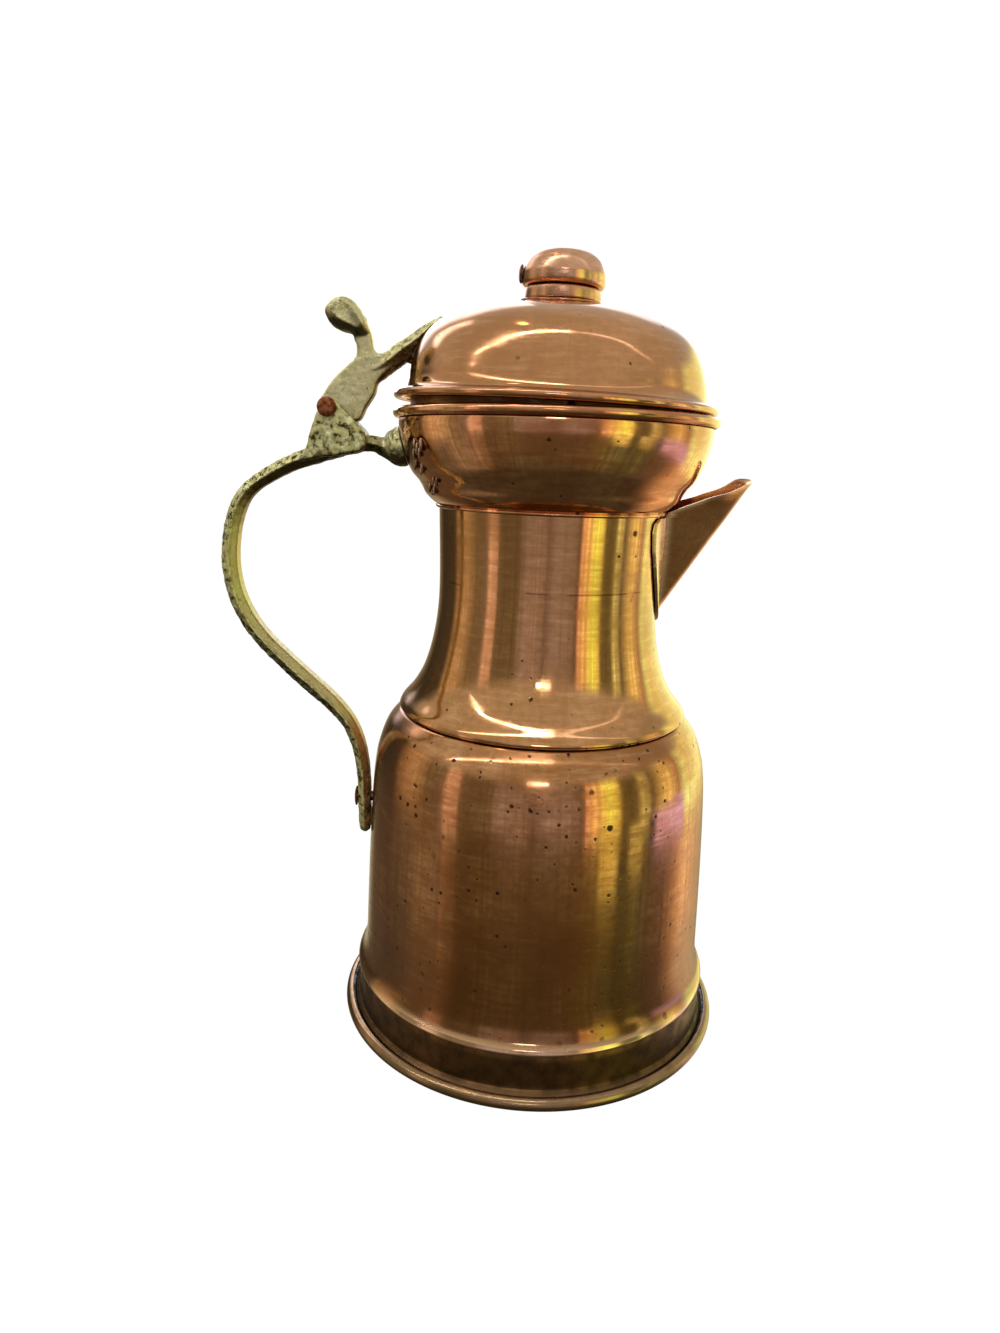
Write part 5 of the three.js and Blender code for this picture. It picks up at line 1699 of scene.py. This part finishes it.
def rivet_section(shank, head, head_height, grip_length, peen=0.0, peen_height=0.0):
    shown = through([
        (head - 0.25, grip_length),
        (head, grip_length + head_height * 0.22),
        (head * 0.88, grip_length + head_height * 0.66),
        (head * 0.5, grip_length + head_height * 0.94),
        (0, grip_length + head_height),
    ], 5)
    start = [(0, 0), (shank, 0)]
    if peen:
        start = through([
            (0, -peen_height),
            (peen * 0.6, -peen_height * 0.92),
            (peen * 0.95, -peen_height * 0.5),
            (peen, -peen_height * 0.12),
            (peen - 0.2, 0),
        ], 4) + [(shank, 0)]
    return start + [(shank, grip_length)] + shown


def washer_section(bore, outer, low, high):
    return [(bore, low), (outer - 0.15, low), (outer, low + 0.15), (outer, high - 0.15),
            (outer - 0.15, high), (bore, high), (bore, low)]


print("outlines of rivets and washers are ready")

# %% Fasteners
PIN_HEAD_R = 2.8
PIN_HEAD_H = 1.4
STUD_R = 1.6
STUD_REACH = 3.4
WASHER_SEAT = 0.8
KNOB_RIVET_Z = 230.8
ARM_RIVET_SEAT = 0.55

slope = float(bowl_radius(BALL_Z + 2) - bowl_radius(BALL_Z - 2)) / 4
stud_place = (-stud_wall, 0, BALL_Z)
stud_out = (-1, 0, -slope)
stud_in = (1, 0, slope)
washer_from = -SHEET - WASHER_SEAT - WASHER_T
tail_place = (-tail_wall, 0, TAIL_RIVET_Z)
tail_from = washer_from - SEAT_GAP
pin_half = LUG_WIDTH / 2 + SEAT_GAP
seated_washer = washer_section(STUD_R + SEAT_GAP, 3.9, washer_from, washer_from + WASHER_T)
FASTENERS = [
    ("hinge_pin_peened", "hinge_pin", "jug", "pin_copper", pin_copper,
     aim((-HINGE[0], 0, HINGE[1]), (0, -1, 0), -pin_half),
     rivet_section(1.4, PIN_HEAD_R, PIN_HEAD_H, 2 * pin_half, PIN_HEAD_R, PIN_HEAD_H)),
    ("stud_in_ball", "handle_stud", "jug", "pin_copper", old_rivet,
     aim(stud_place, stud_in, -STUD_REACH),
     rivet_section(STUD_R, 3.4, 1.5, STUD_REACH - washer_from + SEAT_GAP)),
    ("stud_washer_inside", "stud_washer", "jug", "copper", copper_inside,
     aim(stud_place, stud_out), seated_washer),
    ("tail_rivet_peened", "tail_rivet", "jug", "pin_copper", old_rivet,
     aim(tail_place, (-1, 0, 0), tail_from),
     rivet_section(STUD_R, 3.2, 0.85, 2.7 + TAIL_THICKNESS / 2 + SEAT_GAP - tail_from, 2.8, 1.2)),
    ("tail_washer_inside", "tail_washer", "jug", "copper", copper_inside,
     aim(tail_place, (-1, 0, 0)), seated_washer),
    ("knob_rivet_on_cap", "knob_rivet", "lid", "pin_copper", old_rivet,
     lid_seat @ aim((-KNOB_TENON_R, 0, KNOB_RIVET_Z), (-1, 0, 0), -2.4),
     rivet_section(1.1, 2.6, 1.1, 1.9 + KNOB_R + SEAT_GAP - KNOB_TENON_R)),
]
arm_rivet_length = SHEET + 2 + ARM_RIVET_SEAT
for number, share in enumerate((0.16, 0.3), 1):
    place, way = on_dome(share, -SHEET - ARM_RIVET_SEAT)
    FASTENERS.append((
        f"lid_arm_rivet_{number}_head", f"lid_arm_rivet_{number}", "lid", "pin_copper", old_rivet,
        lid_seat @ aim((-place[0], 0, place[1]), (way[1], 0, way[0]), -arm_rivet_length),
        rivet_section(1, 1.9, 1, arm_rivet_length)))
for name, node, body, slot, metal, matrix, section in FASTENERS:
    hand_over(spin(name, section, metal, 48, matrix=matrix), body, slot, node)

# %% [markdown]
# ## Solder
#
# The ball of the handle was soldered to the bowl as well, and some of the solder ran down the
# bowl and cooled there in drops. A Geometry Nodes tree sets the drops: it takes a line on the
# bowl, keeps some of its points at random and puts a flattened drop of a random size on each.

# %% The solder tree
drop_tree = bpy.data.node_groups.new("solder_drops", "GeometryNodeTree")
socket(drop_tree, "Geometry", "NodeSocketGeometry", in_out="OUTPUT")
socket(drop_tree, "Line", "NodeSocketGeometry")
DROPS = {
    "least": socket(drop_tree, "Smallest", "NodeSocketFloat", 0.4),
    "most": socket(drop_tree, "Largest", "NodeSocketFloat", 1.0),
    "seed": socket(drop_tree, "Seed", "NodeSocketInt", 5),
    "metal": socket(drop_tree, "Metal", "NodeSocketMaterial"),
}
KEPT_SHARE = 0.35
DROP_SHAPE = (0.4, 1.0, 1.3)

line_in = add(drop_tree, "NodeGroupInput")
kept = add(drop_tree, "FunctionNodeRandomValue", {
    "Probability": KEPT_SHARE, "Seed": line_in["Seed"]}, data_type="BOOLEAN")[3]
places = add(drop_tree, "GeometryNodeMeshToPoints", {"Mesh": line_in["Line"], "Selection": kept})[0]
drop = add(drop_tree, "GeometryNodeMeshIcoSphere", {"Radius": 1 * MM, "Subdivisions": 3})["Mesh"]
size = add(drop_tree, "FunctionNodeRandomValue", {
    2: line_in["Smallest"], 3: line_in["Largest"], "Seed": line_in["Seed"]}, data_type="FLOAT")[1]
scale = add(drop_tree, "ShaderNodeVectorMath", {0: DROP_SHAPE, 3: size}, operation="SCALE")[0]
drops = add(drop_tree, "GeometryNodeInstanceOnPoints", {
    "Points": places, "Instance": drop, "Scale": scale})[0]
drops = add(drop_tree, "GeometryNodeRealizeInstances", {"Geometry": drops})[0]
drops = add(drop_tree, "GeometryNodeSetMaterial", {
    "Geometry": drops, "Material": line_in["Metal"]})[0]
add(drop_tree, "NodeGroupOutput", [drops])
print("solder tree:", len(drop_tree.nodes), "nodes")

# %% Solder run below the ball
RUN_TURN = math.radians(206)
RUN_POINTS = 40
RUN_LENGTH = 16.0

run_places = []
for step in range(RUN_POINTS):
    z = BALL_Z + 2.0 - RUN_LENGTH * step / (RUN_POINTS - 1)
    turn = RUN_TURN + math.radians(4 * math.sin(step * 0.31) + 3 * math.sin(step * 1.7))
    r = float(bowl_radius(z)) + 0.15
    run_places.append((r * math.cos(turn) * MM, r * math.sin(turn) * MM, z * MM))
run_mesh = bpy.data.meshes.new("solder_run_below_ball")
run_mesh.from_pydata(run_places, [], [])
solder_run = place_in_scene("solder_run_below_ball", run_mesh)
settle(grow(solder_run, drop_tree, DROPS, least=0.7, most=1.5, seed=5, metal=soft_solder))
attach(solder_run, "jug")
print("solder:", len(solder_run.data.polygons), "faces")

# %% Print the number of pieces and faces
print("pieces:", len(made_pieces), "faces:", sum(made_pieces.values()))
